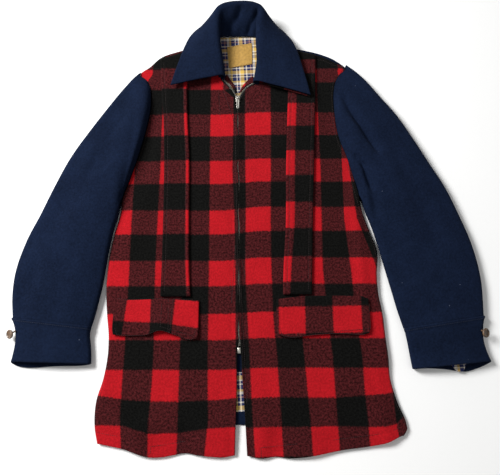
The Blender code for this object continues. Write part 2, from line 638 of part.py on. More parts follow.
def sleeve_rows(side):
    """Plan of a sleeve: both edges, height and armhole bow of each row, from armhole to cuff."""
    table = RIGHT_SLEEVE if side < 0 else LEFT_SLEEVE
    places = np.arange(len(table), dtype=float)
    wanted = np.linspace(0, len(table) - 1, SLEEVE_ROWS)
    inner = np.stack([smooth(places, column_of(table, name), wanted) for name in ("inner_x", "inner_y")], 1)
    outer = np.stack([smooth(places, column_of(table, name), wanted) for name in ("outer_x", "outer_y")], 1)
    height = smooth(places, column_of(table, "height"), wanted)
    bow = np.clip(1 - wanted / BOW_ROWS, 0, 1) ** 1.5
    return inner, outer, height, bow


def sleeve_plan(side, gap):
    """Plan of a sleeve between its two side rolls, with extra rows close to the armhole."""
    inner, outer, height, bow = sleeve_rows(side)
    line = outer - inner
    across = line / np.linalg.norm(line, axis=1, keepdims=True)
    radius = SLEEVE_ROLL * height
    armhole = RIGHT_ARMHOLE if side < 0 else LEFT_ARMHOLE
    border = RIGHT_SIDE if side < 0 else LEFT_SIDE
    levels = np.array(RIGHT_LEVELS if side < 0 else LEFT_LEVELS, float)
    table = border + armhole[1:]
    curve = np.stack([edge_x(table, levels), levels], axis=1)
    u = (levels - levels[0]) / (levels[-1] - levels[0])
    start = inner + across * radius[:, None]
    end = outer - across * radius[:, None]
    plan = blend(start[:, None], end[:, None], u[None, :])
    chord = blend(curve[:1], curve[-1:], u)
    plan += (curve - chord)[None] * bow[:, None, None]
    plan[0] = curve + outward(table, levels, side) * gap
    step = plan[1] - plan[0]
    length = np.linalg.norm(step, axis=1, keepdims=True)
    plan[0] += step / length * CORNER_GAP * (2 * u[:, None] - 1) ** 8
    step = plan[1] - plan[0]
    near = [plan[0] + step / length * np.minimum(reach, share * np.linalg.norm(step, axis=1, keepdims=True))
            for reach, share in zip(ARMHOLE_STEPS, ARMHOLE_SHARES)]
    rows = np.array(near + list(plan[1:]))
    first = len(ARMHOLE_STEPS)
    share = np.array(ARMHOLE_SHARES)
    height = np.concatenate([height[0] + (height[1] - height[0]) * share, height[1:]])
    across = np.concatenate([np.repeat(across[:1], first, axis=0), across[1:]])
    away = np.linalg.norm(rows - curve[None], axis=2)
    return rows, height, across, away, u


def sleeve_wall(side, upper):
    """Outer face of a top sleeve or an under sleeve, with a roll at each side."""
    rows, height, across, away, u = sleeve_plan(side, ARMHOLE_GAP)
    radius = SLEEVE_ROLL * height
    folds = RIGHT_SLEEVE_FOLDS if side < 0 else LEFT_SLEEVE_FOLDS
    settle = ease(away / 30.0)
    edge_settle = [settle[:, 0], settle[:, -1]]
    if upper:
        low = 2 * radius[:, None]
        crown = low + (height[:, None] - low) * (1 - (2 * u - 1) ** 2)[None, :]
        if side < 0:
            rise = np.sqrt(np.clip(1 - (1 - np.clip(away / STEEP_RISE, 0, 1)) ** 2, 0, 1))
            foot = BODY_HEIGHT - 0.6
        else:
            rise = ease(away / EASY_RISE)
            foot = BODY_HEIGHT
        crown = crown + fold_height(folds, rows[..., 0], rows[..., 1]) * settle
        z = foot + (crown - foot) * rise
    else:
        z = np.zeros(rows.shape[:2])
    grid = np.concatenate([rows, z[..., None]], axis=2)
    sides = []
    for end, sign in ((0, -1), (-1, 1)):
        direction = across * sign
        start = rows[:, end]
        level = z[:, end]
        bend = edge_settle[end] if end == 0 else np.maximum(edge_settle[end], 0.55)
        reach_whole = np.minimum(radius, radius * bend + CORNER_REACH)
        columns = []
        for k in range(1, SLEEVE_STEPS + 1):
            turn = math.pi / 2 * k / SLEEVE_STEPS
            place = start + direction * (reach_whole * math.sin(turn))[:, None]
            middle = radius * bend + (1 - bend) * (level if upper else 3.0)
            if upper:
                goal = middle + ROLL_SPLIT * np.clip(bend * 4, 0, 1)
                height_here = goal + (level - goal) * math.cos(turn)
            else:
                goal = np.minimum(middle, radius * bend + 0.4) - ROLL_SPLIT
                height_here = goal * (1 - math.cos(turn))
            columns.append(np.concatenate([place, height_here[:, None]], axis=1))
        sides.append(columns)
    columns = [column[:, None] for column in reversed(sides[0])] + [grid]
    columns += [column[:, None] for column in sides[1]]
    return np.concatenate(columns, axis=1)


def cuff_ring(section, thickness, droop):
    """One ring of a cuff: a flat underside, round sides and a slightly crowned top."""
    inner = np.array([section.inner_x, section.inner_y], float)
    outer = np.array([section.outer_x, section.outer_y], float)
    line = outer - inner
    width = np.linalg.norm(line)
    across = line / width
    radius = SLEEVE_ROLL * section.height - thickness
    points = []
    for x in np.linspace(radius, width - 2 * thickness - radius, CUFF_COLUMNS):
        points.append((x + thickness, thickness))
    for turn in np.linspace(-math.pi / 2, math.pi / 2, 2 * SLEEVE_STEPS + 1)[1:-1]:
        points.append((width - thickness - radius + radius * math.cos(turn),
                       thickness + radius + radius * math.sin(turn)))
    top = thickness + 2 * radius
    crown = section.height - 2 * SLEEVE_ROLL * section.height
    for x in np.linspace(width - 2 * thickness - radius, radius, CUFF_COLUMNS):
        share = (x - radius) / (width - 2 * thickness - 2 * radius)
        points.append((x + thickness, top + crown * (1 - (2 * share - 1) ** 2)))
    for turn in np.linspace(math.pi / 2, 3 * math.pi / 2, 2 * SLEEVE_STEPS + 1)[1:-1]:
        points.append((thickness + radius + radius * math.cos(turn),
                       thickness + radius + radius * math.sin(turn)))
    places = np.array(points)
    plan = inner + across * places[:, :1]
    sag = smooth(np.linspace(0, 1, len(droop)), droop, places[:, 0] / width)
    low = np.clip(1 - (places[:, 1] - thickness) / (2 * radius), 0, 1)
    plan[:, 1] += sag * low
    return np.concatenate([plan, places[:, 1:]], axis=1)


def cuff_rings(side, thickness):
    """Rings of a cuff from its seam to its hem, with the hem of the lower layer hanging out."""
    table = RIGHT_CUFF if side < 0 else LEFT_CUFF
    hem = RIGHT_CUFF_HEM if side < 0 else LEFT_CUFF_HEM
    shares = np.linspace(0, 1, len(table)) ** 2
    return np.array([cuff_ring(row, thickness, np.array(hem) * share) for row, share in zip(table, shares)])


# Collar

def collar_row(row, forward):
    """Path of the collar's visible face at one row: up the stand, over the roll, down to the edge."""
    roll = np.array([row.roll_x, row.roll_y], float)
    seam = np.array([row.seam_x, row.seam_y], float)
    edge = np.array([row.edge_x, row.edge_y], float)
    away = np.array([-forward[1], forward[0]])
    centre = row.roll_z - ROLL_RADIUS
    seam_out = float(np.dot(seam - roll, away))
    edge_out = float(np.dot(edge - roll, away))
    seam_angle = math.atan2(row.seam_z - centre, seam_out) % (2 * math.pi)
    edge_angle = math.atan2(row.edge_z - centre, edge_out)
    seam_far = math.hypot(seam_out, row.seam_z - centre)
    edge_far = math.hypot(edge_out, row.edge_z - centre)
    leave = seam_angle - math.acos(min(ROLL_RADIUS / seam_far, 1))
    meet = edge_angle + math.acos(min(ROLL_RADIUS / edge_far, 1))
    path = []
    begin = (ROLL_RADIUS * math.cos(leave), centre + ROLL_RADIUS * math.sin(leave))
    finish = (ROLL_RADIUS * math.cos(meet), centre + ROLL_RADIUS * math.sin(meet))
    for t in np.linspace(0, 1, STAND_STEPS + 1)[:-1]:
        path.append((seam_out + (begin[0] - seam_out) * t, row.seam_z + (begin[1] - row.seam_z) * t, 1 - t))
    for turn in np.linspace(leave, meet, ROLL_POINTS):
        path.append((ROLL_RADIUS * math.cos(turn), centre + ROLL_RADIUS * math.sin(turn), 0.0))
    lift = LEAF_CROWN * min(1.0, max(0.0, edge_out / 60))
    for t in np.linspace(0, 1, LEAF_STEPS + 1)[1:]:
        path.append((finish[0] + (edge_out - finish[0]) * t,
                     finish[1] + (row.edge_z - finish[1]) * t + lift * math.sin(math.pi * t), -t))
    seam_slip = seam - roll - away * seam_out
    edge_slip = edge - roll - away * edge_out
    points = []
    for out, z, share in path:
        slip = seam_slip * share if share > 0 else edge_slip * -share
        place = roll + away * out + slip
        points.append((place[0], place[1], z))
    return points


def collar_grid():
    """Visible face of the collar: a row for each place from its right front end to its left one."""
    places = np.arange(len(COLLAR), dtype=float)
    wanted = np.linspace(0, len(COLLAR) - 1, COLLAR_ROWS)
    values = {name: smooth(places, column_of(COLLAR, name), wanted) for name in CollarRow._fields}
    line = np.stack([values["roll_x"], values["roll_y"]], axis=1)
    forward = np.gradient(line, axis=0)
    forward /= np.linalg.norm(forward, axis=1, keepdims=True)
    rows = []
    for i in range(COLLAR_ROWS):
        row = CollarRow(*[float(values[name][i]) for name in CollarRow._fields])
        rows.append(collar_row(row, forward[i]))
    return np.array(rows)


def under_collar_grid():
    """Visible face of the under collar, below the left leaf and just past its front edge."""
    leaf = collar_grid()
    below = leaf + surface_normals(leaf) * (MELTON + SEAM)
    below = below[UNDER_COLLAR_FROM_ROW:, STAND_STEPS + ROLL_POINTS:]
    run = below[-1] - below[-2]
    below[-1] += run / np.linalg.norm(run, axis=1, keepdims=True) * UNDER_COLLAR_SHOWS
    return below


# Lining, facings and label

def lining_height(y):
    """Height of the upper face of the neck lining."""
    share = (np.asarray(y, float) - NECK_LINING_RISE_FROM) / NECK_LINING_RISE_OVER
    return NECK_LINING_Z + NECK_LINING_RISE * ease(share)


def neck_lining_grid():
    """Upper face of the lining of the back, where the neck shows it."""
    rows = np.linspace(NECK_LINING[0].y, NECK_LINING[-1].y, 9)
    left = smooth(column_of(NECK_LINING, "y"), column_of(NECK_LINING, "x"), rows)
    right = smooth(column_of(NECK_LINING, "y"), column_of(NECK_LINING, "to_x"), rows)
    u = np.linspace(0, 1, 6)
    x = left[:, None] * (1 - u) + right[:, None] * u
    y = np.broadcast_to(rows[:, None], x.shape)
    return np.stack([x, y, lining_height(y)], axis=2)


def label_grid():
    """Upper face of the neck label, which lies on the lining."""
    low = blend(np.array(LABEL_CORNERS[0]), np.array(LABEL_CORNERS[1]), np.linspace(0, 1, 4))
    high = blend(np.array(LABEL_CORNERS[3]), np.array(LABEL_CORNERS[2]), np.linspace(0, 1, 4))
    plan = np.array([low * (1 - v) + high * v for v in np.linspace(0, 1, 4)])
    z = lining_height(plan[..., 1]) + SEAM + LABEL_THICK
    return np.concatenate([plan, z[..., None]], axis=2)


def hem_lining_grid():
    """Upper face of the end of the lining that shows between the fronts above the back's hem."""
    x, y = np.meshgrid(np.linspace(HEM_LINING[0].x, HEM_LINING[1].x, 4),
                       np.linspace(HEM_LINING[0].y, HEM_LINING[1].y, 4))
    return np.stack([x, y, np.full(x.shape, NECK_LINING_Z)], axis=2)


def cuff_lining_grid():
    """Upper face of the lining that shows in the mouth of the left cuff."""
    v = np.linspace(0, 1, 5)
    middle = CUFF_LINING.x + (CUFF_LINING.to_x - CUFF_LINING.x) * v
    half = CUFF_LINING.width * (1 - 0.7 * v ** 2)
    u = np.linspace(-1, 1, 5)
    x = middle[:, None] + half[:, None] * u
    y = np.broadcast_to((CUFF_LINING.y + (CUFF_LINING.to_y - CUFF_LINING.y) * v)[:, None], x.shape)
    hump = CUFF_LINING.height * (v * (2 - v))[:, None] * (1 - u ** 2)[None, :]
    return np.stack([x, y, DOUBLE_MELTON + SEAM + FLANNEL + hump], axis=2)


def facing_grid(side):
    """Visible face of a facing: from the zip's opened end down into the neck."""
    rows = RIGHT_FACING if side < 0 else LEFT_FACING
    outer = along([(row.x, row.y) for row in rows], np.linspace(0, 1, 6))
    inner = along([(row.to_x, row.to_y) for row in rows], np.linspace(0, 1, 6))
    u = np.linspace(0, 1, 4)
    plan = blend(outer[:, None], inner[:, None], u[None, :])
    z = np.broadcast_to(FACING_TOP + (FACING_LOW - FACING_TOP) * u, plan.shape[:2])
    return np.concatenate([plan, z[..., None]], axis=2)


# Zip

def ribbon_rings(path, reach_in, reach_out, side, floor, height):
    """Rectangular sections along a path in plan, from one reach to the other across it."""
    run = np.gradient(path, axis=0)
    away = np.stack([-run[:, 1], run[:, 0]], axis=1)
    away /= np.linalg.norm(away, axis=1, keepdims=True)
    away *= side * np.sign(away[0, 0])
    rings = []
    for point, out in zip(path, away):
        a = point + out * reach_in
        b = point + out * reach_out
        rings.append([(*a, floor), (*b, floor), (*b, floor + height), (*a, floor + height)])
    return np.array(rings)


def chain_path(side, start_y=None):
    """Middle line of one half of the zip's chain, with its opened end along the neck."""
    table = RIGHT_CHAIN if side < 0 else LEFT_CHAIN
    straight = along(table[:3], np.linspace(0, 1, 4)[:-1])
    opened = along(table[2:], np.linspace(0, 1, 12))
    path = np.concatenate([straight, opened])
    if start_y is not None:
        path[0, 1] = start_y
    return path


def box(name, low, high):
    """A metal box between two corners."""
    (x0, y0, z0), (x1, y1, z1) = low, high
    ring = [[(x0, y0, z), (x1, y0, z), (x1, y1, z), (x0, y1, z)] for z in (z0, z1)]
    return swept(name, np.array(ring, float), SILVER, 1.0, 0.3)


def rod(name, start, end, radius):
    """A round bar between two points."""
    start, end = np.array(start, float), np.array(end, float)
    axis = (end - start) / np.linalg.norm(end - start)
    one = np.cross(axis, (0, 0, 1.0) if abs(axis[2]) < 0.9 else (1.0, 0, 0))
    one /= np.linalg.norm(one)
    two = np.cross(axis, one)
    turns = np.linspace(0, 2 * math.pi, ROD_STEPS + 1)[:-1]
    ring = np.array([one * math.cos(t) + two * math.sin(t) for t in turns]) * radius
    return swept(name, np.array([start + ring, end + ring]), SILVER, 1.0, 0.3)


def combine(item, other, operation):
    """Joins another solid to an item, or cuts it out, and hides the other."""
    step = item.modifiers.new(other.name, "BOOLEAN")
    step.operation = operation
    step.solver = "EXACT"
    step.object = other
    other.hide_render = True
    other.display_type = "WIRE"


def build_slider():
    """Slider: a plate over the chain, two flanges beside it, and two ears that hold a pin."""
    x, y = SLIDER_X, SLIDER_Y
    half = SLIDER_WIDTH / 2
    base = SLIDER_FLOOR
    low = y - SLIDER_LENGTH / 2
    slider = box("zip_slider", (x - half, low, base), (x + half, low + SLIDER_LENGTH, base + SLIDER_PLATE))
    for sign in (-1, 1):
        edge = sorted((x + sign * half, x + sign * (half - SLIDER_FLANGE)))
        flange = box("slider_flange", (edge[0], low, SLIDER_FLANGE_FLOOR),
                     (edge[1], low + SLIDER_FLANGE_LENGTH, base + PLATE_OVERLAP))
        combine(slider, flange, "UNION")
        edge = sorted((x + sign * EAR_REACH, x + sign * (EAR_REACH - EAR_WIDTH)))
        ear = box("slider_ear", (edge[0], y - EAR_LENGTH / 2, base + PLATE_OVERLAP),
                  (edge[1], y + EAR_LENGTH / 2, PIN_HEIGHT + EAR_OVER_PIN))
        combine(slider, ear, "UNION")
    reach = EAR_REACH - PIN_SHORT
    pin = rod("slider_pin", (x - reach, y, PIN_HEIGHT), (x + reach, y, PIN_HEIGHT), PIN_RADIUS)
    combine(slider, pin, "UNION")


def build_pull_tab():
    """Pull tab: an eye round the pin and a plate that slopes down onto the fronts."""
    x, y = SLIDER_X, SLIDER_Y
    drop = PIN_HEIGHT - TAB_TIP_HEIGHT
    rings = []
    for row in TAB_ROWS:
        half = row.width / 2
        low = PIN_HEIGHT - drop * row.reach / TAB_LENGTH - TAB_THICK / 2
        high = low + TAB_THICK
        far = y - row.reach
        rings.append([(x - half, far, low), (x + half, far, low),
                      (x + half, far, high), (x - half, far, high)])
    tab = swept("zip_pull_tab", np.array(rings), SILVER, 1.0, 0.3)
    half = TAB_ROWS[0].width / 2
    eye = rod("tab_eye", (x - half, y, PIN_HEIGHT), (x + half, y, PIN_HEIGHT), EYE_RADIUS)
    combine(tab, eye, "UNION")
    hole = rod("tab_hole", (x - 5, y, PIN_HEIGHT), (x + 5, y, PIN_HEIGHT), PIN_RADIUS + PIN_PLAY)
    combine(tab, hole, "DIFFERENCE")


def build_zip():
    """Tapes, both halves of the chain, slider, pull tab and stop."""
    for side, name in ((-1, "right"), (1, "left")):
        path = chain_path(side)
        rings = ribbon_rings(path, -ZIP_HALF_WIDTH / 2, ZIP_HALF_WIDTH / 2, side, ZIP_CHAIN_FLOOR,
                             ZIP_CHAIN_HEIGHT)
        swept(name + "_zip_chain", rings, SILVER, 1.0, 0.35)
        path = chain_path(side, ZIP_STOP_Y - TAPE_BELOW_STOP)
        rings = ribbon_rings(path, -TAPE_INSIDE, ZIP_TAPE_WIDTH, side, ZIP_TAPE_FLOOR, TAPE)
        swept(name + "_zip_tape", rings, BLACK_TAPE)
    stop = ZIP_STOP
    top = ZIP_CHAIN_FLOOR + ZIP_STOP_HEIGHT
    box("zip_stop", (stop.x, stop.y, ZIP_CHAIN_FLOOR), (stop.to_x, stop.to_y, top))
    build_slider()
    build_pull_tab()


# Buttons

def build_button(side, name):
    """A cuff button with a raised rim, in one piece with the link that holds it at the cuff's edge."""
    row = RIGHT_BUTTON if side < 0 else LEFT_BUTTON
    centre = np.array([row.x, row.y, row.z])
    axis = np.array([row.face_x, row.face_y, row.face_z])
    axis /= np.linalg.norm(axis)
    one = np.cross(axis, (0, 1.0, 0))
    one /= np.linalg.norm(one)
    two = np.cross(axis, one)
    turns = np.linspace(0, 2 * math.pi, ROUND_STEPS + 1)[:-1]
    rings = []
    for place in BUTTON_PROFILE:
        middle = centre + axis * place.height
        ring = [middle + (one * math.cos(t) + two * math.sin(t)) * place.radius for t in turns]
        rings.append(ring)
    button = swept(name + "_button", np.array(rings), HORN, 0.0, 0.45)
    end = RIGHT_LINK_END if side < 0 else LEFT_LINK_END
    link = rod(name + "_link", centre + axis * LINK_SINK, end, LINK_RADIUS)
    combine(button, link, "UNION")


def main():
    """Builds every piece of the jacket."""
    for item in list(bpy.data.objects):
        bpy.data.objects.remove(item, do_unlink=True)
    wall("back", back_grid(), MELTON, NAVY, faces_up=False)
    for side, name in ((-1, "right"), (1, "left")):
        wall(name + "_front", front_grid(side), MELTON, CHECK_RED)
        swept(name + "_strap", strap_rings(side), CHECK_RED)
        wall(name + "_flap", flap_grid(side), DOUBLE_MELTON, CHECK_RED)
        wall(name + "_top_sleeve", sleeve_wall(side, True), MELTON, NAVY)
        wall(name + "_under_sleeve", sleeve_wall(side, False), MELTON, NAVY, faces_up=False)
        tube(name + "_cuff", cuff_rings(side, 0.0), cuff_rings(side, DOUBLE_MELTON), NAVY)
        wall(name + "_facing", facing_grid(side), FACING_CLOTH, CHECK_RED)
        build_button(side, name)
    wall("collar", collar_grid(), MELTON, NAVY)
    wall("under_collar", under_collar_grid(), UNDER_COLLAR_CLOTH, CHECK_RED)
    wall("neck_lining", neck_lining_grid(), FLANNEL, LINING_BUFF)
    wall("hem_lining", hem_lining_grid(), FLANNEL, LINING_BUFF)
    wall("cuff_lining", cuff_lining_grid(), FLANNEL, LINING_BUFF)
    wall("neck_label", label_grid(), LABEL_THICK, LABEL_GOLD)
    build_zip()


main()
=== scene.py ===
import math
from collections import namedtuple

import bmesh
import bpy
import numpy as np
from mathutils import Matrix, Vector


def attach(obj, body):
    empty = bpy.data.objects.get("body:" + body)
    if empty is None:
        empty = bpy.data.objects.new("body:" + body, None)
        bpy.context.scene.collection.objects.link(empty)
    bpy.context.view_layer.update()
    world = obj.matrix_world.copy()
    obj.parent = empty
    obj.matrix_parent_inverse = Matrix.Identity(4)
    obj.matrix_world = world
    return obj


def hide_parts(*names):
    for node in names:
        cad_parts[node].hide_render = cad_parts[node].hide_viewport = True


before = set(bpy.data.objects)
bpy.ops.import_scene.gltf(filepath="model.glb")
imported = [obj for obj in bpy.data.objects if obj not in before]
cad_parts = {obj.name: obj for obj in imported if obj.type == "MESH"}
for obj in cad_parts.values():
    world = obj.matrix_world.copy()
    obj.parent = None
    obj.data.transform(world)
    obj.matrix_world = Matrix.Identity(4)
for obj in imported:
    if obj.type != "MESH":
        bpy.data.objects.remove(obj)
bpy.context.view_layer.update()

bl_info = {
    "name": "Norfolk Jacket Finish",
    "version": (1, 0, 0),
    "blender": (4, 5, 0),
    "location": "View3D > Sidebar > Jacket",
    "description": "Cloth, stitching, zip, buttons and light for a Norfolk jacket laid flat",
    "category": "Object",
}

MM = 0.001

# Every table below is in millimetres. The collar is at +Y, and the wearer's right side is at -X.

# Cloth and seams
MELTON = 3.0
DOUBLE_MELTON = 4.4
FLANNEL = 1.0
TAPE = 0.8
SEAM = 0.3
FLOOR_AIR = 0.05

# Heights above the floor, to the upper face of the cloth
BODY_HEIGHT = 10.0
ROLL_SPLIT = 0.25
STEEP_RISE = 11.0
EASY_RISE = 26.0
SLEEVE_ROLL = 0.36
ARMHOLE_STEPS = (0.0, 0.6, 2.2, 5.0, 9.0)
ARMHOLE_SHARES = (0.0, 0.08, 0.24, 0.48, 0.74)
BOW_ROWS = 5.0
ARMHOLE_GAP = 0.45
CORNER_GAP = 2.8
CORNER_REACH = 0.8

# Fineness of the walls
FRONT_COLUMNS = 12
BACK_COLUMNS = 10
HEM_ROWS = 3
SIDE_ROWS = 12
SHOULDER_ROWS = 5
ROLL_STEPS = 3
SLEEVE_ROWS = 11
SLEEVE_STEPS = 3
CUFF_COLUMNS = 8
STAND_STEPS = 2
ROLL_POINTS = 6
LEAF_STEPS = 5
COLLAR_ROWS = 30

# Rows of the tables below, with the names of their columns
Point = namedtuple("Point", "x y")
Fold = namedtuple("Fold", "x y to_x to_y width height")
Section = namedtuple("Section", "inner_x inner_y outer_x outer_y height")
CollarRow = namedtuple("CollarRow", "seam_x seam_y seam_z roll_x roll_y roll_z edge_x edge_y edge_z")
StrapRow = namedtuple("StrapRow", "outer_x outer_y inner_x inner_y")
FlapRow = namedtuple("FlapRow", "along_x top_y bottom_y lift")
Strip = namedtuple("Strip", "x y to_x to_y")
Span = namedtuple("Span", "y x to_x")
Tongue = namedtuple("Tongue", "x y to_x to_y width height")
TabRow = namedtuple("TabRow", "reach width")
Button = namedtuple("Button", "x y z face_x face_y face_z")
Cut = namedtuple("Cut", "width length area")
ColumnLine = namedtuple("ColumnLine", "y first second third fourth fifth sixth")
RowLine = namedtuple("RowLine", "band right_y left_y")
RowWave = namedtuple("RowWave", "x lower_y upper_y")


def table(kind, *rows):
    """A table whose rows have the columns of a kind."""
    return [kind(*row) for row in rows]


# Outline of the right front, from the hem corner round to the zip
RIGHT_SIDE = table(Point, (-266, -422), (-273, -390), (-274, -362), (-268, -334), (-260, -294),
    (-257, -252), (-262, -212), (-266, -175), (-269, -140), (-267, -88), (-260, -42), (-252, -5),
    (-247, 30))
RIGHT_ARMHOLE = table(Point, (-247, 30), (-230, 86), (-213, 155), (-206, 193), (-202, 229), (-203, 258),
    (-210, 282), (-228, 300))
RIGHT_SHOULDER = table(Point, (-88, 374), (-138, 361), (-167, 353), (-187, 343), (-203, 327), (-228, 300))
RIGHT_NECK = table(Point, (-59, 287.5), (-66, 320), (-76, 352), (-88, 374))
RIGHT_EDGE = table(Point, (-26, -440), (-25, -390), (-23.4, -340), (-23, -290), (-23, -240), (-24.9, 0),
    (-27.7, 216), (-29.7, 236), (-31.6, 248), (-36.6, 261), (-46.5, 275), (-59, 287.5))
RIGHT_HEM = table(Point, (-26, -440), (-49, -444), (-86, -441), (-117, -437), (-150, -444), (-174, -444),
    (-219, -431), (-266, -422))

# Outline of the left front
LEFT_SIDE = table(Point, (268, -409), (276, -396), (271, -375), (256, -335), (252, -315), (251, -282),
    (247, -227), (245, -194), (240, -161), (237, -136), (241, -106), (243, -86), (233, -46), (220, -4),
    (211, 38))
LEFT_ARMHOLE = table(Point, (211, 38), (203, 70), (199, 108), (190, 121), (183, 142), (176, 171),
    (172, 209), (171, 245), (175, 279), (187, 303), (202, 320))
LEFT_SHOULDER = table(Point, (50, 376), (108, 362), (149, 351), (178, 337), (202, 320))
LEFT_FRONT_SHOULDER = table(Point, (48, 369), (105, 355.5), (147, 344.5), (174, 331), (198, 313.5))
LEFT_NECK = table(Point, (14, 280), (26, 310), (38, 344), (48, 369))
LEFT_EDGE = table(Point, (-5, -441), (-7.5, -398), (-11.5, -340), (-15, -290), (-16.6, -240), (-18.6, 0),
    (-21.4, 216), (-19.8, 236), (-17.8, 248), (-13, 260), (-3.6, 271.5), (14, 280))
LEFT_HEM = table(Point, (-5, -441), (16, -446), (45, -443), (74, -446), (111, -442), (161, -433),
    (211, -427), (244, -420), (268, -409))

# Levels of Y from the underarm to the shoulder corner, close together beside the opened zip
RIGHT_LEVELS = [30, 68, 104, 138, 170, 198, 222, 236, 248, 261, 275, 287.5, 300]
LEFT_LEVELS = [38, 78, 118, 156, 190, 216, 236, 248, 260, 271.5, 280, 300, 320]

BACK_HEM_Y = -390.0
NECK_POINT = 3.0
UNDERARM_FADE = 34.0
CORNER_FADE = 10.0
BACK_NECK_Y = 385.0

# The largest folds of the fronts: ridges are above zero, troughs below
RIGHT_FOLDS = table(Fold, (-272, -330, -196, -405, 16, 5.0), (-250, -300, -176, -362, 15, -2.5),
    (-196, -440, -176, -385, 20, 3.5), (-117, -445, -112, -395, 20, -3.0), (-60, -440, -70, -385, 28, 2.5),
    (-212, 40, -186, 265, 13, -2.2), (-236, -95, -205, 60, 18, 2.0), (-70, -60, -64, 160, 24, 1.2))
LEFT_FOLDS = table(Fold, (212, -165, 204, 60, 11, 2.6), (228, -45, 214, 20, 9, -3.2),
    (245, -300, 262, -395, 12, -3.0), (246, -432, 222, -370, 20, 3.5), (110, -445, 104, -390, 26, 3.0),
    (48, -445, 52, -400, 18, -2.5), (18, -440, 22, -385, 16, 2.5), (150, 40, 160, 250, 16, -1.4))

# Sections of the sleeves from just past the armhole to the cuff seam
RIGHT_SLEEVE = table(Section, (-248.6, 30, -228.6, 300.6, 20), (-250.5, 14, -256, 272, 25),
    (-254.0, -5, -283, 232, 27), (-258.6, -24, -312, 186, 28), (-262.4, -44, -343, 137, 28),
    (-266.0, -66, -369, 85, 27), (-269.4, -90, -391, 28, 26), (-271.4, -114, -412, -25, 25),
    (-274.0, -138, -431, -75, 24), (-279.0, -168, -441, -130, 23), (-284.0, -194, -441, -172, 22),
    (-290.0, -219.5, -436, -203.5, 22))
LEFT_SLEEVE = table(Section, (213.0, 38, 202.6, 321, 18), (216.4, 22, 231, 296, 22),
    (223.0, 2, 258, 260, 24), (230.0, -18, 287, 222, 25), (236.0, -38, 316, 176, 25),
    (242.0, -62, 343, 122, 25), (248.4, -88, 367, 80, 25), (253.6, -112, 388, 36, 24),
    (260.0, -138, 408, -20, 23), (266.0, -164, 423, -70, 23), (272.0, -190, 432, -135, 22),
    (281.0, -222.5, 430, -199.5, 22))

# The largest folds of the sleeves
RIGHT_SLEEVE_FOLDS = table(Fold, (-262, 246, -300, 60, 12, -2.5), (-236, 205, -262, 20, 11, 2.5),
    (-330, 60, -392, -60, 14, -2.0), (-296, -60, -330, -190, 15, 1.8), (-400, -120, -424, -190, 10, -2.0))
LEFT_SLEEVE_FOLDS = table(Fold, (186, 262, 214, 196, 7, -5.0), (214, 196, 256, 118, 8, -4.5),
    (208, 112, 237, 70, 6, -5.5), (237, 70, 242, -10, 6, -4.5), (205, 150, 233, 110, 9, 2.0),
    (232, 190, 282, 60, 13, 2.5), (300, 90, 352, -60, 15, -2.0), (300, -90, 330, -190, 15, 1.6))

# Sections of the cuffs from their seam to their hem
RIGHT_CUFF = table(Section, (-291.0, -220.2, -437, -204.2, 23.5), (-292.0, -235, -430, -222, 23.0),
    (-289.0, -254, -427, -243, 21.0), (-287.0, -270, -428, -262, 21.0), (-286.0, -286, -431, -282, 22.0))
LEFT_CUFF = table(Section, (282.0, -223.2, 431, -200.2, 23.5), (285.0, -240, 426, -222, 23.0),
    (288.0, -262, 425, -243, 21.0), (290.0, -279, 429, -264, 21.0), (292.0, -295, 435, -281, 22.0))
RIGHT_CUFF_HEM = [0.0, -3.4, -4.6, -5.6, -8.6, -9.2, -4.0]
LEFT_CUFF_HEM = [0.0, -0.6, -3.4, -8.0, -13.6, -9.6, -2.4]

# The collar from its right front end, round the back of the neck, to its left front end
COLLAR = table(CollarRow, (-64, 288, 10.6, -60, 291, 23.0, -162, 268, 22.5),
    (-69, 312, 10.6, -63, 316, 27.0, -155, 294, 22.5), (-74, 334, 10.6, -67, 342, 31.0, -146, 323, 22.0),
    (-80, 355, 10.6, -70, 366, 35.5, -138, 351, 20.5), (-84, 373, 10.6, -71, 390, 40.0, -128, 378, 18.5),
    (-78, 386, 10.0, -70, 412, 44.5, -114, 400, 14.0), (-62, 391, 9.0, -64, 430, 48.0, -92, 420, 7.5),
    (-43, 393, 8.0, -48, 440, 50.0, -60, 436, 1.8), (-16, 394, 8.0, -16, 443, 50.5, -16, 441, 1.2),
    (6, 393, 8.0, 11, 439, 50.0, 24, 433, 1.8), (25, 391, 9.0, 24, 425, 48.0, 60, 411, 7.5),
    (39, 385, 10.0, 22, 402, 44.5, 81, 384, 15.5), (46, 370, 10.6, 21, 378, 40.0, 94, 357, 20.5),
    (41, 348, 10.6, 22, 353, 35.5, 103, 327, 22.0), (34, 324, 10.6, 23, 328, 31.0, 110, 300, 22.0),
    (27, 302, 10.6, 20, 303, 27.0, 117, 272, 22.5), (19, 281, 10.6, 15, 278, 23.0, 123, 246, 22.5))
ROLL_RADIUS = 6.5
LEAF_CROWN = 2.0
UNDER_COLLAR_SHOWS = 1.6

# The straps, from the shoulder down to the top of the pocket flap
RIGHT_STRAP = table(StrapRow, (-187, 334, -133, 354), (-181, 256, -129, 256), (-175, 197, -126, 197),
    (-170, 108, -120, 108), (-167, -13, -117, -13), (-166, -110, -114, -110), (-166, -164, -110, -164))
LEFT_STRAP = table(StrapRow, (137, 345, 82, 359), (134, 256, 78, 256), (131, 190, 75, 190),
    (126, 86, 71, 86), (121, -13, 69, -13), (117, -110, 63, -110), (115, -160, 61, -160))
STRAP_TURN = 10.0
STRAP_AIR = 0.4
STRAP_CLOTH = 2.6
STRAP_SINK = 0.8

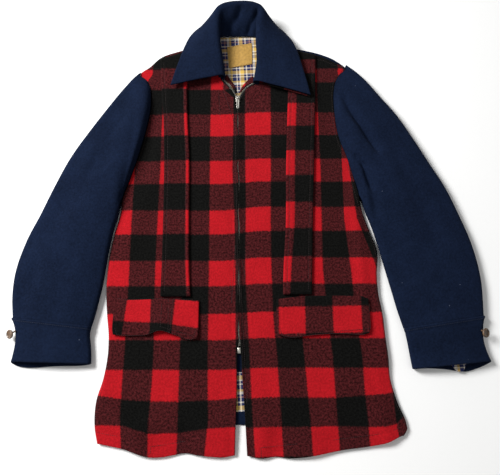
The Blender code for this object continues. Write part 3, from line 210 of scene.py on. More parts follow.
# The pocket flaps, with how far each place of the lower edge stands off the front
RIGHT_FLAP = table(FlapRow, (-251, -167, -234, 2.0), (-222, -170, -236, 0.8), (-192, -169, -235, 1.5),
    (-163, -168, -227, 6.5), (-140, -169, -233, 3.0), (-107, -171, -243, 0.8), (-94, -171, -241, 2.5))
LEFT_FLAP = table(FlapRow, (49, -168, -235, 1.5), (78, -165, -239, 0.8), (109, -162, -235, 1.5),
    (159, -162, -232, 1.0), (205, -163, -234, 1.0), (219, -168, -231, 2.0))
FLAP_SEAT = 0.5
FLAP_DEPTH = 66.0
FLAP_RIM = 5.0
FLAP_CORNER = 2.6

# Under collar, facings, lining and label
UNDER_COLLAR_FROM_ROW = 23
UNDER_COLLAR_CLOTH = 1.8
RIGHT_FACING = table(Strip, (-28.4, 258.5, -27.4, 263), (-34.0, 268.2, -31, 276), (-42.0, 280.6, -39, 290),
    (-53.0, 292.6, -48, 305))
LEFT_FACING = table(Strip, (-21.4, 258.5, -22.0, 263), (-15.0, 267.6, -17, 275), (-6.0, 276.6, -8, 287),
    (9.8, 285.2, 5, 301))
FACING_CLOTH = 1.6
FACING_TOP = 9.2
FACING_LOW = 6.4
NECK_LINING = table(Span, (240, -60, 10), (290, -58, 12), (330, -65, 28), (360, -74, 41), (384, -77, 42),
    (391.5, -69, 28))
NECK_LINING_Z = 4.3
NECK_LINING_RISE = 2.6
LABEL_CORNERS = [(-44, 319), (4.5, 329), (3.5, 378), (-48.5, 369)]
LABEL_THICK = 0.7
HEM_LINING = table(Point, (-48, -300), (22, -368))
CUFF_LINING = Tongue(372, -262, 378, -299, 20, 3.4)

# The zip
ZIP_CHAIN_HEIGHT = 2.6
ZIP_CHAIN_FLOOR = 6.85
ZIP_TAPE_FLOOR = 5.7
ZIP_TAPE_WIDTH = 12.0
ZIP_STOP_Y = -262.0
ZIP_TEETH_Y = -254.0
TAPE_PAST_STOP = 6.0
TAPE_INNER = -0.9
ZIP_STOP_HEIGHT = 3.0
ZIP_STOP = Strip(-22.4, -267, -17.1, -256.6)
RIGHT_CHAIN = table(Point, (-21.15, -256), (-23.15, 0), (-26.1, 225), (-26.4, 240), (-29.8, 254),
    (-36, 265), (-44.2, 277.2), (-55.5, 290.5))
LEFT_CHAIN = table(Point, (-18.45, -256), (-20.45, 0), (-23.4, 225), (-23.3, 240), (-20, 254),
    (-13.8, 264.2), (-4.8, 274.4), (11, 283.4))
SLIDER_X = -24.8
SLIDER_Y = 245.0
SLIDER_LENGTH = 14.0
SLIDER_WIDTH = 8.8
SLIDER_PLATE = 1.4
SLIDER_FLOOR = 9.8
SLIDER_FLANGE = 1.2
SLIDER_FLANGE_LENGTH = 3.0
SLIDER_FLANGE_DEPTH = 3.0
SLIDER_FLANGE_DROP = 1.1
EAR_REACH = 3.4
EAR_WIDTH = 1.2
PIN_HEIGHT = 13.7
PIN_RADIUS = 0.8
PIN_PLAY = 0.35
EYE_WIRE = 0.45
TOOTH_LENGTH = 3.0
TOOTH_WIDTH = 1.2
TAB_WIDTH = 5.4
TAB_START = 1.8
EAR_LENGTH = 4.2
EAR_OVER_PIN = 1.3
TAB_LENGTH = 23.0
TAB_THICK = 1.2
TAB_TIP_HEIGHT = 11.4
TAB_ROWS = table(TabRow, (1.4, 3.6), (4.0, 3.6), (7.0, 5.0), (20.0, 5.6), (22.4, 4.6), (23.0, 3.4))

# Buttons at the outer edges of the cuffs: the middle of the back, and the way it faces
RIGHT_BUTTON = Button(-435.0, -233.0, 12.3, -0.50, -0.14, 0.855)
LEFT_BUTTON = Button(425.6, -231.0, 17.0, 0.50, -0.14, 0.855)
# The end of each button's link, on top of the cuff
RIGHT_LINK_END = (-424.5, -227.5, 17.9)
LEFT_LINK_END = (418.8, -226.5, 18.6)
LINK_SINK = 0.8
BUTTON_PROFILE = [(5.4, 0.0), (8.0, 0.9), (8.5, 2.2), (8.2, 3.4), (7.2, 4.0), (6.2, 3.5), (5.4, 2.9),
                  (1.2, 2.6)]
LINK_RADIUS = 1.5

# Smaller creases, uneven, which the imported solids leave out
RIGHT_CREASES = table(Fold, (-246, -40, -232, 52, 5, -0.9), (-214, 70, -190, 150, 6, -0.8),
    (-62, 250, -44, 205, 6, -0.8), (-96, -20, -88, 120, 9, 0.6), (-232, -250, -190, -262, 7, -0.7),
    (-120, -262, -84, -250, 7, -0.7), (-226, -352, -196, -318, 6, -0.9), (-140, -330, -122, -400, 8, 0.8),
    (-40, -300, -62, -380, 8, -0.8), (-222, 150, -208, 240, 7, 0.8))
LEFT_CREASES = table(Fold, (206, 60, 176, 40, 6, -0.9), (186, 150, 158, 128, 7, -0.8),
    (10, 250, 28, 200, 7, -0.8), (40, -10, 48, 130, 9, 0.6), (196, -252, 222, -262, 7, -0.8),
    (72, -256, 110, -250, 8, -0.7), (214, -300, 236, -366, 7, -0.9), (152, -330, 140, -410, 9, 0.8),
    (28, -300, 46, -372, 8, -0.8), (168, -60, 196, 30, 8, 0.8))
BACK_CREASES = table(Fold, (-230, 20, -120, 130, 9, 1.3), (-214, -60, -128, 20, 8, 0.9),
    (190, 30, 96, 120, 9, 1.3), (180, -70, 104, 6, 8, 0.9), (-60, 330, 70, 322, 12, 0.8),
    (-170, -388, -150, -270, 11, 1.2), (-20, -388, -34, -240, 13, 1.0), (142, -388, 128, -280, 11, 1.2),
    (-210, -200, -90, -168, 9, 0.7), (60, -190, 196, -150, 9, 0.8))
RIGHT_SLEEVE_CREASES = table(Fold, (-252, 200, -282, 150, 6, -1.3), (-300, 120, -330, 20, 8, -1.1),
    (-268, 90, -310, 60, 7, 1.0), (-352, 92, -386, 20, 9, 1.0), (-286, -90, -330, -70, 6, -1.1),
    (-300, -150, -352, -120, 8, 0.9), (-410, -60, -434, -110, 7, -0.9), (-322, -196, -380, -168, 7, -0.8))
LEFT_SLEEVE_CREASES = table(Fold, (226, 190, 262, 140, 6, -1.4), (250, 110, 292, 40, 8, -1.2),
    (190, 250, 214, 196, 5, -6.0), (214, 196, 251, 125, 5, -7.0), (208, 116, 224, 96, 5, -6.0),
    (224, 96, 236, 48, 5, -6.5), (262, 220, 300, 170, 8, 1.0), (328, 70, 366, 0, 8, 1.0),
    (266, -80, 312, -52, 6, -1.1), (290, -150, 344, -124, 8, 0.9), (396, -60, 424, -116, 7, -0.9),
    (318, -198, 372, -166, 7, -0.8))
UNDER_SLEEVE_CREASES = table(Fold, (-300, 150, -346, 60, 9, 1.2), (-330, 10, -392, -60, 8, 1.0),
    (-300, -120, -372, -150, 8, 0.9), (270, 150, 318, 60, 9, 1.2), (310, 0, 372, -70, 8, 1.0),
    (290, -130, 362, -160, 8, 0.9))
COLLAR_CREASES = table(Fold, (-17, 436, -47, 398, 7, -5.5), (16, 430, -5, 398, 6, -5.0),
    (-34, 428, -30, 400, 8, 2.6), (4, 430, 8, 402, 7, 2.6), (-120, 360, -92, 330, 12, 0.8),
    (82, 330, 60, 300, 12, 0.8))
LINING_CREASES = table(Fold, (-40, 300, 6, 292, 5, 0.5), (-52, 340, -48, 384, 5, -0.5),
    (14, 350, 24, 384, 5, 0.5), (-30, 262, -12, 284, 5, -0.4))

# Bands of the check across each front, counted so that even bands are red, at levels of Y
RIGHT_COLUMNS = table(ColumnLine, (-440, -275, -223, -177, -128, -79, -27),
    (-381, -277, -227, -178, -127, -73, -25), (-327, -278, -229, -175, -127, -75, -24),
    (-270, -276, -227, -174, -127, -76, -26), (-113, -277, -227, -178, -128, -77, -28),
    (-11, -278, -228, -178, -129, -78, -30), (88, -277, -228, -177, -129, -79, -35),
    (193, -277, -228, -178, -130, -80, -34), (248, -277, -228, -178, -130, -80, -34),
    (268, -274, -222, -178, -130, -80, -56), (300, -262, -202, -178, -130, -80, -56))
LEFT_COLUMNS = table(ColumnLine, (-440, 9, 58, 109, 156, 209, 263), (-381, 5, 55, 106, 153, 207, 256),
    (-327, 2, 51.5, 102, 151, 204, 254), (-270, -0.5, 49, 98, 149, 203, 252),
    (-211, -4, 43, 93, 143, 196, 245), (-113, -9, 40, 90, 137, 190, 240),
    (-11, -8, 39.5, 90, 138, 182, 205), (30, -8, 40, 90, 138.5, 182.5, 201),
    (88, -9, 41, 91, 139.5, 183, 196), (140, -9.5, 41.5, 91.5, 139, 183.5, 192),
    (193, -10, 42, 92, 138, 184, 192))
# The left edge of row 14 is set high, at 284, so that the dark row runs on under the collar where the red row
# lies in its shadow: painted shade.
CHECK_ROWS = table(RowLine, (1, -394.7, -394.2), (2, -346.6, -342.2), (3, -296.2, -292.4),
    (4, -243.4, -239.4), (5, -196.2, -192.1), (6, -144.2, -139.3), (7, -96.2, -89.4), (8, -44.2, -36.7),
    (9, 3.6, 11.6), (10, 58.7, 64.3), (11, 106.7, 112.7), (12, 160.9, 164.8), (13, 209.1, 214.2),
    (14, 266.0, 284.0), (15, 312, 315), (16, 364, 367))
HEM_WAVES = table(RowWave, (-271, 4, 7), (-221, 3.5, -1), (-176, -10, -3.5), (-126, -9, -4), (-74, -1, -2),
    (-26, 1, 0.5), (3, 0, -2), (58, 1, -0.5), (109, 1.5, -1.5), (154, 2.5, -1.5), (207, 1, 2.5),
    (240, 1.5, 5), (257, 6, 8), (271, 19, 12))

# Bands of the check, and where they begin on the straps and flaps
RED_BAND = 48.5
BLACK_BAND = 53.0
STRAP_RED_RIGHT = 7.0
STRAP_RED_LEFT = [(-160, 13.0), (-13, 16.5), (345, 17.5)]
# How far the bands of the left strap lie above those of the front
STRAP_RISE_LEFT = [(-140, 3.0), (-90, 1.0), (-37, 4.0), (11, 8.0), (64, 11.0), (113, 14.5), (165, 17.0),
                   (214, 18.0)]
RIGHT_FLAP_COLUMNS = table(ColumnLine, (-240, -283, -233, -182, -143, -91, -42),
    (-170, -276, -226, -183, -138, -86, -37))
LEFT_FLAP_COLUMNS = table(ColumnLine, (-240, 53, 101, 152, 204, 257, 306),
    (-165, 53, 101, 152, 204, 257, 306))
RIGHT_FLAP_ROW = [(-251, -209.0), (-164, -213.0), (-94, -222.0)]
LEFT_FLAP_ROW = [(49, -184.0), (219, -181.0)]

# How far each piece of lining was moved under the plaid when it was cut. The hem lining's shift puts a navy
# stripe in the gap between the fronts, partly as painted shade for the shadow that falls there.
LINING_SHIFTS = {"neck_lining": Point(20.0, 22.0), "hem_lining": Point(10.3, 17.3),
                 "cuff_lining": Point(1.5, 8.0)}
LINING_SLANT = 0.05

# Rows of stitching, by their distance from the edge
STRAP_STITCH = 7.2
FLAP_STITCH = 6.0
HEM_STITCH = 20.0
PLACKET_STITCHES = (5.0, 10.5)
CUFF_STITCH = 6.5
LABEL_STITCH = 1.6
HEAD_OVERLAP = 1.2
GROOVE_WIDTH = 1.6
GROOVE_DEPTH = 0.8

# How far the edges of the fronts reach over the teeth: the mean, its slow and quick waves, the rise,
# and how far in from the edge they fade
EDGE_REACH = 2.4
EDGE_SLOW = 1.0
EDGE_QUICK = 0.5
EDGE_LIFT = 0.75
EDGE_FADE = 5.0
# The ridge of a cuff along its seam, and how far from its ends its small creases begin
CUFF_RIDGE = 1.1
CUFF_FADE = 12

# Light and camera
SKY = 0.30
LIGHTS = [("key", (-1.7, 0.8, 1.6), 1.0, 94.0), ("fill", (1.2, -0.8, 2.4), 1.8, 4.0)]
CAMERA_PLACE = (0.0, -0.3310, 1.0300)
CAMERA_TILT = 15.4
CAMERA_LENS = 39.89


# Interpolation

def smooth(places, values, at):
    """Values at the given places on a smooth line through a table, which never overshoots it."""
    places = np.asarray(places, float)
    values = np.asarray(values, float)
    at = np.clip(np.asarray(at, float), places[0], places[-1])
    step = np.diff(places)
    slope = np.diff(values) / step
    tangent = np.zeros(len(places))
    for i in range(1, len(places) - 1):
        if slope[i - 1] * slope[i] > 0:
            first = 2 * step[i] + step[i - 1]
            second = step[i] + 2 * step[i - 1]
            tangent[i] = (first + second) / (first / slope[i - 1] + second / slope[i])
    tangent[0] = slope[0]
    tangent[-1] = slope[-1]
    i = np.clip(np.searchsorted(places, at, side="right") - 1, 0, len(step) - 1)
    t = (at - places[i]) / step[i]
    return (values[i] * (1 + 2 * t) * (1 - t) ** 2 + tangent[i] * step[i] * t * (1 - t) ** 2
            + values[i + 1] * t * t * (3 - 2 * t) + tangent[i + 1] * step[i] * t * t * (t - 1))


def along(points, fractions):
    """Points at the given fractions of the length of a smooth line through a table of points."""
    table = np.array(points, float)
    length = distance_along(table)
    places = np.asarray(fractions, float) * length[-1]
    return np.stack([smooth(length, table[:, k], places) for k in range(table.shape[1])], axis=-1)


def unit(vectors):
    """Vectors of length 1 in the same directions."""
    return vectors / np.linalg.norm(vectors, axis=-1, keepdims=True)


def raised(place, height):
    """Points in space from their places in plan and their heights."""
    return np.concatenate([place, height[..., None]], axis=-1)


def with_rolls(grid, first, last):
    """A grid of points between the columns of two rolls, of which the first is turned round."""
    columns = [column[:, None] for column in reversed(first)] + [grid] + [column[:, None] for column in last]
    return np.concatenate(columns, axis=1)


def distance_along(points):
    """Distance of each point from the first one, along the first axis of an array of points."""
    step = np.linalg.norm(np.diff(points, axis=0), axis=-1)
    return np.concatenate([np.zeros((1,) + step.shape[1:]), np.cumsum(step, axis=0)])


def column_of(rows, name):
    """One named column of a table."""
    return np.array([getattr(row, name) for row in rows], float)


def blend(start, end, amount):
    """Mixes two arrays of points by amounts from 0 to 1."""
    amount = np.asarray(amount, float)[..., None]
    return start * (1 - amount) + end * amount


def ease(amount):
    """A soft step from 0 to 1."""
    amount = np.clip(amount, 0, 1)
    return amount * amount * (3 - 2 * amount)


def fold_height(folds, x, y):
    """Sum of the soft ridges and troughs of a table of folds at places x, y."""
    total = np.zeros(np.shape(x))
    for fold in folds:
        along_x = fold.to_x - fold.x
        along_y = fold.to_y - fold.y
        length = math.hypot(along_x, along_y)
        t = ((x - fold.x) * along_x + (y - fold.y) * along_y) / length ** 2
        off = ((x - fold.x) * along_y - (y - fold.y) * along_x) / length
        ends = ease((t + 0.25) / 0.4) * ease((1.25 - t) / 0.4)
        total += fold.height * ends * np.exp(-(off / fold.width) ** 2)
    return total


def line_directions(grid, axis):
    """Unit directions along the lines of a grid, which at a line's end turn on as it last turned."""
    chord = np.diff(np.moveaxis(grid, axis, 0), axis=0)
    chord = unit(chord)
    first = 1.5 * chord[:1] - 0.5 * chord[1:2]
    last = 1.5 * chord[-1:] - 0.5 * chord[-2:-1]
    run = np.concatenate([first, chord[:-1] + chord[1:], last])
    run = unit(run)
    return np.moveaxis(run, 0, axis)


def surface_normals(grid):
    """Unit normals of a grid of points, from the two lines that cross at each point."""
    normal = np.cross(line_directions(grid, 1), line_directions(grid, 0))
    return unit(normal)


# Colour and nodes

def linear(code):
    """A colour from its sRGB hex code, in linear values."""
    parts = [int(code[i:i + 2], 16) / 255 for i in (0, 2, 4)]
    return tuple(c / 12.92 if c <= 0.04045 else ((c + 0.055) / 1.055) ** 2.4 for c in parts)


class JacketSizes(bpy.types.PropertyGroup):
    """Sizes that set how fine the cloth and its stitching are."""

    cell: bpy.props.FloatProperty(
        name="Cloth cell", description="Distance between two points of the cloth's mesh",
        default=4.0 * MM, min=0.002, max=0.02, unit="LENGTH")
    stitch: bpy.props.FloatProperty(
        name="Stitch", description="Length of one stitch that shows",
        default=2.6 * MM, min=0.001, max=0.01, unit="LENGTH")
    stitch_gap: bpy.props.FloatProperty(
        name="Stitch gap", description="Distance between two stitches of a row",
        default=0.9 * MM, min=0.0002, max=0.01, unit="LENGTH")
    thread: bpy.props.FloatProperty(
        name="Thread", description="Thickness of the sewing thread",
        default=0.7 * MM, min=0.0002, max=0.002, unit="LENGTH")
    tooth_pitch: bpy.props.FloatProperty(
        name="Tooth pitch", description="Distance between two teeth on one side of the zip",
        default=2.5 * MM, min=0.001, max=0.006, unit="LENGTH")


class JacketColours(bpy.types.PropertyGroup):
    """Colours of the cloths, the metal and the horn."""

    red: bpy.props.FloatVectorProperty(
        name="Check red", description="Red of the check where both yarns are red",
        default=linear("AA161E"), size=3, min=0, max=1, subtype="COLOR")
    maroon: bpy.props.FloatVectorProperty(
        name="Check maroon", description="Red yarn crossed by black yarn",
        default=linear("3C1315"), size=3, min=0, max=1, subtype="COLOR")
    black: bpy.props.FloatVectorProperty(
        name="Check black", description="Black of the check where both yarns are black",
        default=linear("0B0B0A"), size=3, min=0, max=1, subtype="COLOR")
    navy: bpy.props.FloatVectorProperty(
        name="Navy", description="Navy of the sleeves, back, cuffs and collar",
        default=linear("0F182B"), size=3, min=0, max=1, subtype="COLOR")
    lining: bpy.props.FloatVectorProperty(
        name="Lining", description="Gold of the lining's plaid",
        default=linear("D2AE55"), size=3, min=0, max=1, subtype="COLOR")
    label: bpy.props.FloatVectorProperty(
        name="Label", description="Tan gold of the neck label",
        default=linear("B78E42"), size=3, min=0, max=1, subtype="COLOR")
    horn: bpy.props.FloatVectorProperty(
        name="Horn", description="Brown of the cuff buttons",
        default=linear("5B4736"), size=3, min=0, max=1, subtype="COLOR")
    floor: bpy.props.FloatVectorProperty(
        name="Floor", description="White of the board that the jacket lies on",
        default=linear("FBFBFA"), size=3, min=0, max=1, subtype="COLOR")


def connect(tree, item, links):
    """Gives each named input of a node a value, a socket, or the first result of a node."""
    for key, source in links.items():
        if isinstance(source, bpy.types.Node):
            source = next(output for output in source.outputs if output.enabled)
        if isinstance(source, bpy.types.NodeSocket):
            tree.links.new(source, item.inputs[key])
        else:
            item.inputs[key].default_value = source


def add(tree, kind, links=None, **settings):
    """Adds a shader node with its settings and its links."""
    item = tree.nodes.new("ShaderNode" + kind)
    for key, value in settings.items():
        setattr(item, key, value)
    connect(tree, item, links or {})
    return item


def new_material(name):
    """An empty node material with its shader, linked to the output."""
    material = bpy.data.materials.new(name)
    material.use_nodes = True
    tree = material.node_tree
    shader = tree.nodes["Principled BSDF"]
    return material, tree, shader


def opaque(colour, share=1.0):
    """A colour with full opacity, made darker or lighter by a share."""
    return (*[min(1, c * share) for c in colour], 1.0)


def band(tree, place, width, period, soft):
    """1 inside the bands that start at zero and repeat, 0 between them, with a soft edge."""
    moved = add(tree, "Math", {0: place, 1: width / 2}, operation="SUBTRACT")
    off = add(tree, "Math", {0: moved, 1: period / 2}, operation="PINGPONG")
    return add(tree, "MapRange", {"Value": off, "From Min": width / 2 - soft, "From Max": width / 2 + soft,
                                  "To Min": 1.0, "To Max": 0.0}, interpolation_type="SMOOTHSTEP")


def check_material(colours):
    """Mackinaw: thick wool in a twill, milled and brushed. Its nap blurs the edges of the check."""
    material, tree, shader = new_material("brushed_wool_mackinaw_buffalo_check")
    place = add(tree, "UVMap", uv_map="cloth").outputs["UV"]
    # nap about 3 mm long pulls the edge of each colour about 2 mm either way
    fuzz = add(tree, "TexNoise", {"Vector": place, "Scale": 420.0, "Detail": 3.0, "Roughness": 0.7})
    shift = add(tree, "VectorMath", {0: fuzz.outputs["Color"], 1: (0.5, 0.5, 0.5)}, operation="SUBTRACT")
    shift = add(tree, "VectorMath", {0: shift, "Scale": 0.008}, operation="SCALE")
    moved = add(tree, "VectorMath", {0: place, 1: shift}, operation="ADD")
    axes = add(tree, "SeparateXYZ", {0: moved})
    period = (RED_BAND + BLACK_BAND) * MM
    across = band(tree, axes.outputs["X"], RED_BAND * MM, period, 0.0018)
    down = band(tree, axes.outputs["Y"], RED_BAND * MM, period, 0.0018)
    both = add(tree, "Math", {0: across, 1: down}, operation="MULTIPLY")
    either = add(tree, "Math", {0: across, 1: down}, operation="MAXIMUM")
    # the real twill lines are 1.2 mm apart, and are drawn 3 mm apart so that they show
    flat = add(tree, "SeparateXYZ", {0: place})
    slant = add(tree, "Math", {0: flat.outputs["X"], 1: flat.outputs["Y"]}, operation="ADD")
    turns = add(tree, "Math", {0: slant, 1: 2 * math.pi / 0.003}, operation="MULTIPLY")
    twill = add(tree, "Math", {0: turns}, operation="SINE")
    speck = add(tree, "TexNoise", {"Vector": place, "Scale": 270.0, "Detail": 3.0, "Roughness": 0.7})
    speck = add(tree, "Math", {0: speck, 1: 0.5}, operation="SUBTRACT")
    speck = add(tree, "Math", {0: speck, 1: 6.5}, operation="MULTIPLY")
    lines = add(tree, "Math", {0: twill, 1: 0.22, 2: speck}, operation="MULTIPLY_ADD")
    mottle = add(tree, "MapRange", {"Value": lines, "From Min": -0.8, "From Max": 0.9})
    maroon = add(tree, "Mix", {"Factor": mottle, "A": opaque(colours.maroon, 0.35),
                               "B": opaque(colours.maroon, 1.9)}, data_type="RGBA")
    blacks = add(tree, "Mix", {"Factor": mottle, "A": opaque(colours.black, 0.5),
                               "B": opaque(colours.black, 1.8)}, data_type="RGBA")
    # the nap lies in slow patches of lighter and darker red
    patch = add(tree, "TexNoise", {"Vector": place, "Scale": 36.0, "Detail": 3.0})
    light = add(tree, "Math", {0: patch, 1: mottle}, operation="ADD")
    light = add(tree, "MapRange", {"Value": light, "From Min": 0.5, "From Max": 1.5})
    reds = add(tree, "Mix", {"Factor": light, "A": opaque(colours.red, 0.82),
                             "B": opaque(colours.red, 1.16)}, data_type="RGBA")
    dark = add(tree, "Mix", {"Factor": either, "A": blacks, "B": maroon}, data_type="RGBA")
    colour = add(tree, "Mix", {"Factor": both, "A": dark, "B": reds}, data_type="RGBA")
    height = add(tree, "Math", {0: mottle, 1: fuzz}, operation="ADD")
    bump = add(tree, "Bump", {"Strength": 0.45, "Distance": 0.0007, "Height": height})
    connect(tree, shader, {"Base Color": colour, "Normal": bump, "Roughness": 0.92,
                           "Specular IOR Level": 0.05, "Sheen Weight": 0.02, "Sheen Roughness": 0.5})
    return material


def melton_material(colours):
    """Melton: wool milled until its weave is covered by felt, so it is matt, and soft in tone."""
    material, tree, shader = new_material("milled_wool_melton_navy")
    place = add(tree, "TexCoord").outputs["Object"]
    # tufts of felt about 4 mm across over slow patches of about 40 mm
    felt = add(tree, "TexNoise", {"Vector": place, "Scale": 260.0, "Detail": 4.0, "Roughness": 0.7})
    patch = add(tree, "TexNoise", {"Vector": place, "Scale": 24.0, "Detail": 2.0})
    total = add(tree, "Math", {0: felt, 1: 2.6, 2: patch}, operation="MULTIPLY_ADD")
    tone = add(tree, "MapRange", {"Value": total, "From Min": 1.15, "From Max": 2.45})
    cloth = add(tree, "Mix", {"Factor": tone, "A": opaque(colours.navy, 0.62),
                              "B": opaque(colours.navy, 1.5)}, data_type="RGBA")
    # specks of pale lint under 1 mm across, a few to a hand's breadth
    cells = add(tree, "TexVoronoi", {"Vector": place, "Scale": 46.0, "Randomness": 1.0})
    near = add(tree, "Math", {0: cells.outputs["Distance"], 1: 0.03}, operation="LESS_THAN")
    pick = add(tree, "SeparateColor", {0: cells.outputs["Color"]})
    chosen = add(tree, "Math", {0: pick, 1: 0.62}, operation="GREATER_THAN")
    lint = add(tree, "Math", {0: near, 1: chosen}, operation="MULTIPLY")
    lint = add(tree, "Math", {0: lint, 1: 0.5}, operation="MULTIPLY")
    colour = add(tree, "Mix", {"Factor": lint, "A": cloth, "B": opaque(linear("8C93A8"))}, data_type="RGBA")
    bump = add(tree, "Bump", {"Strength": 0.4, "Distance": 0.0007, "Height": total})
    connect(tree, shader, {"Base Color": colour, "Normal": bump, "Roughness": 0.95,
                           "Specular IOR Level": 0.05, "Sheen Weight": 0.02, "Sheen Roughness": 0.55,
                           "Sheen Tint": opaque(linear("8FA0D0"))})
    return material


def stripe_colours(tree, place, colours):
    """The lining's row of stripes, as a ramp over one repeat of its plaid."""
    share = add(tree, "Math", {0: place, 1: 0.052}, operation="DIVIDE")
    share = add(tree, "Math", {0: share}, operation="FRACT")
    ramp = add(tree, "ValToRGB", {"Fac": share})
    ramp.color_ramp.interpolation = "CONSTANT"
    navy, cream, pink = linear("1E2650"), linear("D8CFC0"), linear("A97C6C")
    stops = [(0.0, navy), (0.15, cream), (0.19, navy), (0.27, cream), (0.32, colours.lining), (0.46, navy),
             (0.54, cream), (0.59, navy), (0.72, pink), (0.76, navy), (0.83, cream), (0.92, colours.lining)]
    for place_on_ramp, colour in stops[2:]:
        ramp.color_ramp.elements.new(place_on_ramp)
    for element, (place_on_ramp, colour) in zip(ramp.color_ramp.elements, stops):
        element.position = place_on_ramp
        element.color = opaque(colour)
    return ramp.outputs["Color"]


def flannel_material(colours):
    """Flannel lining: a soft cotton plaid in navy, cream and gold, where crossing yarns mix."""
    material, tree, shader = new_material("cotton_flannel_plaid_lining")
    place = add(tree, "UVMap", uv_map="cloth").outputs["UV"]
    axes = add(tree, "SeparateXYZ", {0: place})
    warp = stripe_colours(tree, axes.outputs["X"], colours)
    weft = stripe_colours(tree, axes.outputs["Y"], colours)
    # threads are 0.5 mm apart, and are drawn 1.4 mm apart so that they show
    rib = add(tree, "TexChecker", {"Vector": place, "Scale": 720.0})
    part = add(tree, "MapRange", {"Value": rib.outputs["Fac"], "To Min": 0.36, "To Max": 0.62})
    colour = add(tree, "Mix", {"Factor": part, "A": warp, "B": weft}, data_type="RGBA")
    nap = add(tree, "TexNoise", {"Vector": place, "Scale": 900.0, "Detail": 3.0})
    bump = add(tree, "Bump", {"Strength": 0.3, "Distance": 0.0003, "Height": nap})
    connect(tree, shader, {"Base Color": colour, "Normal": bump, "Roughness": 0.9, "Specular IOR Level": 0.2})
    return material


def label_material(colours):
    """Woven label: rayon satin in tan gold, left bare, with fine ribs across."""
    material, tree, shader = new_material("rayon_satin_label_bare")
    place = add(tree, "UVMap", uv_map="cloth").outputs["UV"]
    axes = add(tree, "SeparateXYZ", {0: place})
    turns = add(tree, "Math", {0: axes.outputs["Y"], 1: 2 * math.pi / 0.0013}, operation="MULTIPLY")
    rib = add(tree, "Math", {0: turns}, operation="SINE")
    worn = add(tree, "TexNoise", {"Vector": place, "Scale": 190.0, "Detail": 4.0})
    total = add(tree, "Math", {0: rib, 1: 0.12, 2: worn}, operation="MULTIPLY_ADD")
    tone = add(tree, "MapRange", {"Value": total, "From Min": 0.2, "From Max": 0.8})
    colour = add(tree, "Mix", {"Factor": tone, "A": opaque(colours.label, 0.7),
                               "B": opaque(colours.label, 1.2)}, data_type="RGBA")
    bump = add(tree, "Bump", {"Strength": 0.4, "Distance": 0.0003, "Height": rib})
    connect(tree, shader, {"Base Color": colour, "Normal": bump, "Roughness": 0.55})
    return material


def tape_material(colours):
    """Zip tape: black cotton in a herringbone, flat and matt."""
    material, tree, shader = new_material("cotton_herringbone_tape_black")
    place = add(tree, "TexCoord").outputs["Object"]
    axes = add(tree, "SeparateXYZ", {0: place})
    zigzag = add(tree, "Math", {0: axes.outputs["X"], 1: 0.003}, operation="PINGPONG")
    slant = add(tree, "Math", {0: zigzag, 1: axes.outputs["Y"]}, operation="ADD")
    turns = add(tree, "Math", {0: slant, 1: 2 * math.pi / 0.0014}, operation="MULTIPLY")
    rib = add(tree, "Math", {0: turns}, operation="SINE")
    tone = add(tree, "MapRange", {"Value": rib, "From Min": -1.0, "From Max": 1.0})
    colour = add(tree, "Mix", {"Factor": tone, "A": opaque(linear("0D0D0E")), "B": opaque(linear("1D1D20"))},
                 data_type="RGBA")
    bump = add(tree, "Bump", {"Strength": 0.4, "Distance": 0.0003, "Height": rib})
    connect(tree, shader, {"Base Color": colour, "Normal": bump, "Roughness": 0.85})
    return material


def metal_material(colours):
    """Nickel silver: stamped and tumbled, in random patches brighter and glossier or duller, as handling
    leaves it.
    """
    material, tree, shader = new_material("stamped_nickel_silver")
    place = add(tree, "TexCoord").outputs["Object"]
    worn = add(tree, "TexNoise", {"Vector": place, "Scale": 420.0, "Detail": 4.0})
    tone = add(tree, "MapRange", {"Value": worn, "From Min": 0.3, "From Max": 0.7})
    colour = add(tree, "Mix", {"Factor": tone, "A": opaque(linear("9D9A90")), "B": opaque(linear("D8D5CC"))},
                 data_type="RGBA")
    rough = add(tree, "MapRange", {"Value": worn, "From Min": 0.3, "From Max": 0.7, "To Min": 0.45,
                                   "To Max": 0.25})
    connect(tree, shader, {"Base Color": colour, "Roughness": rough, "Metallic": 1.0})
    return material


def horn_material(colours):
    """Horn: turned and polished by hand, with streaks of pale and dark brown along its grain."""
    material, tree, shader = new_material("turned_horn_brown")
    place = add(tree, "TexCoord").outputs["Object"]
    # streaks about 2 mm wide and 8 mm long
    grain = add(tree, "Mapping", {"Vector": place, "Scale": (480.0, 130.0, 300.0)})
    streak = add(tree, "TexNoise", {"Vector": grain, "Scale": 1.0, "Detail": 4.0, "Distortion": 0.6})
    tone = add(tree, "MapRange", {"Value": streak, "From Min": 0.34, "From Max": 0.68})
    colour = add(tree, "Mix", {"Factor": tone, "A": opaque(colours.horn, 0.3),
                               "B": opaque(colours.horn, 2.1)}, data_type="RGBA")
    bump = add(tree, "Bump", {"Strength": 0.25, "Distance": 0.0003, "Height": streak})
    connect(tree, shader, {"Base Color": colour, "Normal": bump, "Roughness": 0.38})
    return material


def thread_material(name, code):
    """Sewing thread: mercerised cotton, two plies twisted, with a slight lustre."""
    material, tree, shader = new_material(name)
    place = add(tree, "TexCoord").outputs["Object"]
    ply = add(tree, "TexNoise", {"Vector": place, "Scale": 1500.0, "Detail": 2.0})
    colour = linear(code)
    mix = add(tree, "Mix", {"Factor": ply, "A": opaque(colour, 0.6), "B": opaque(colour, 1.6)},
              data_type="RGBA")
    connect(tree, shader, {"Base Color": mix, "Roughness": 0.6})
    return material


def floor_material(colours):
    """Painted board: matt white emulsion with a slight unevenness from the roller."""
    material, tree, shader = new_material("matt_white_painted_board")
    place = add(tree, "TexCoord").outputs["Object"]
    stipple = add(tree, "TexNoise", {"Vector": place, "Scale": 120.0, "Detail": 4.0})
    mix = add(tree, "Mix", {"Factor": stipple, "A": opaque(colours.floor, 0.985),
                            "B": opaque(colours.floor)}, data_type="RGBA")
    connect(tree, shader, {"Base Color": mix, "Roughness": 0.9, "Specular IOR Level": 0.1})
    return material


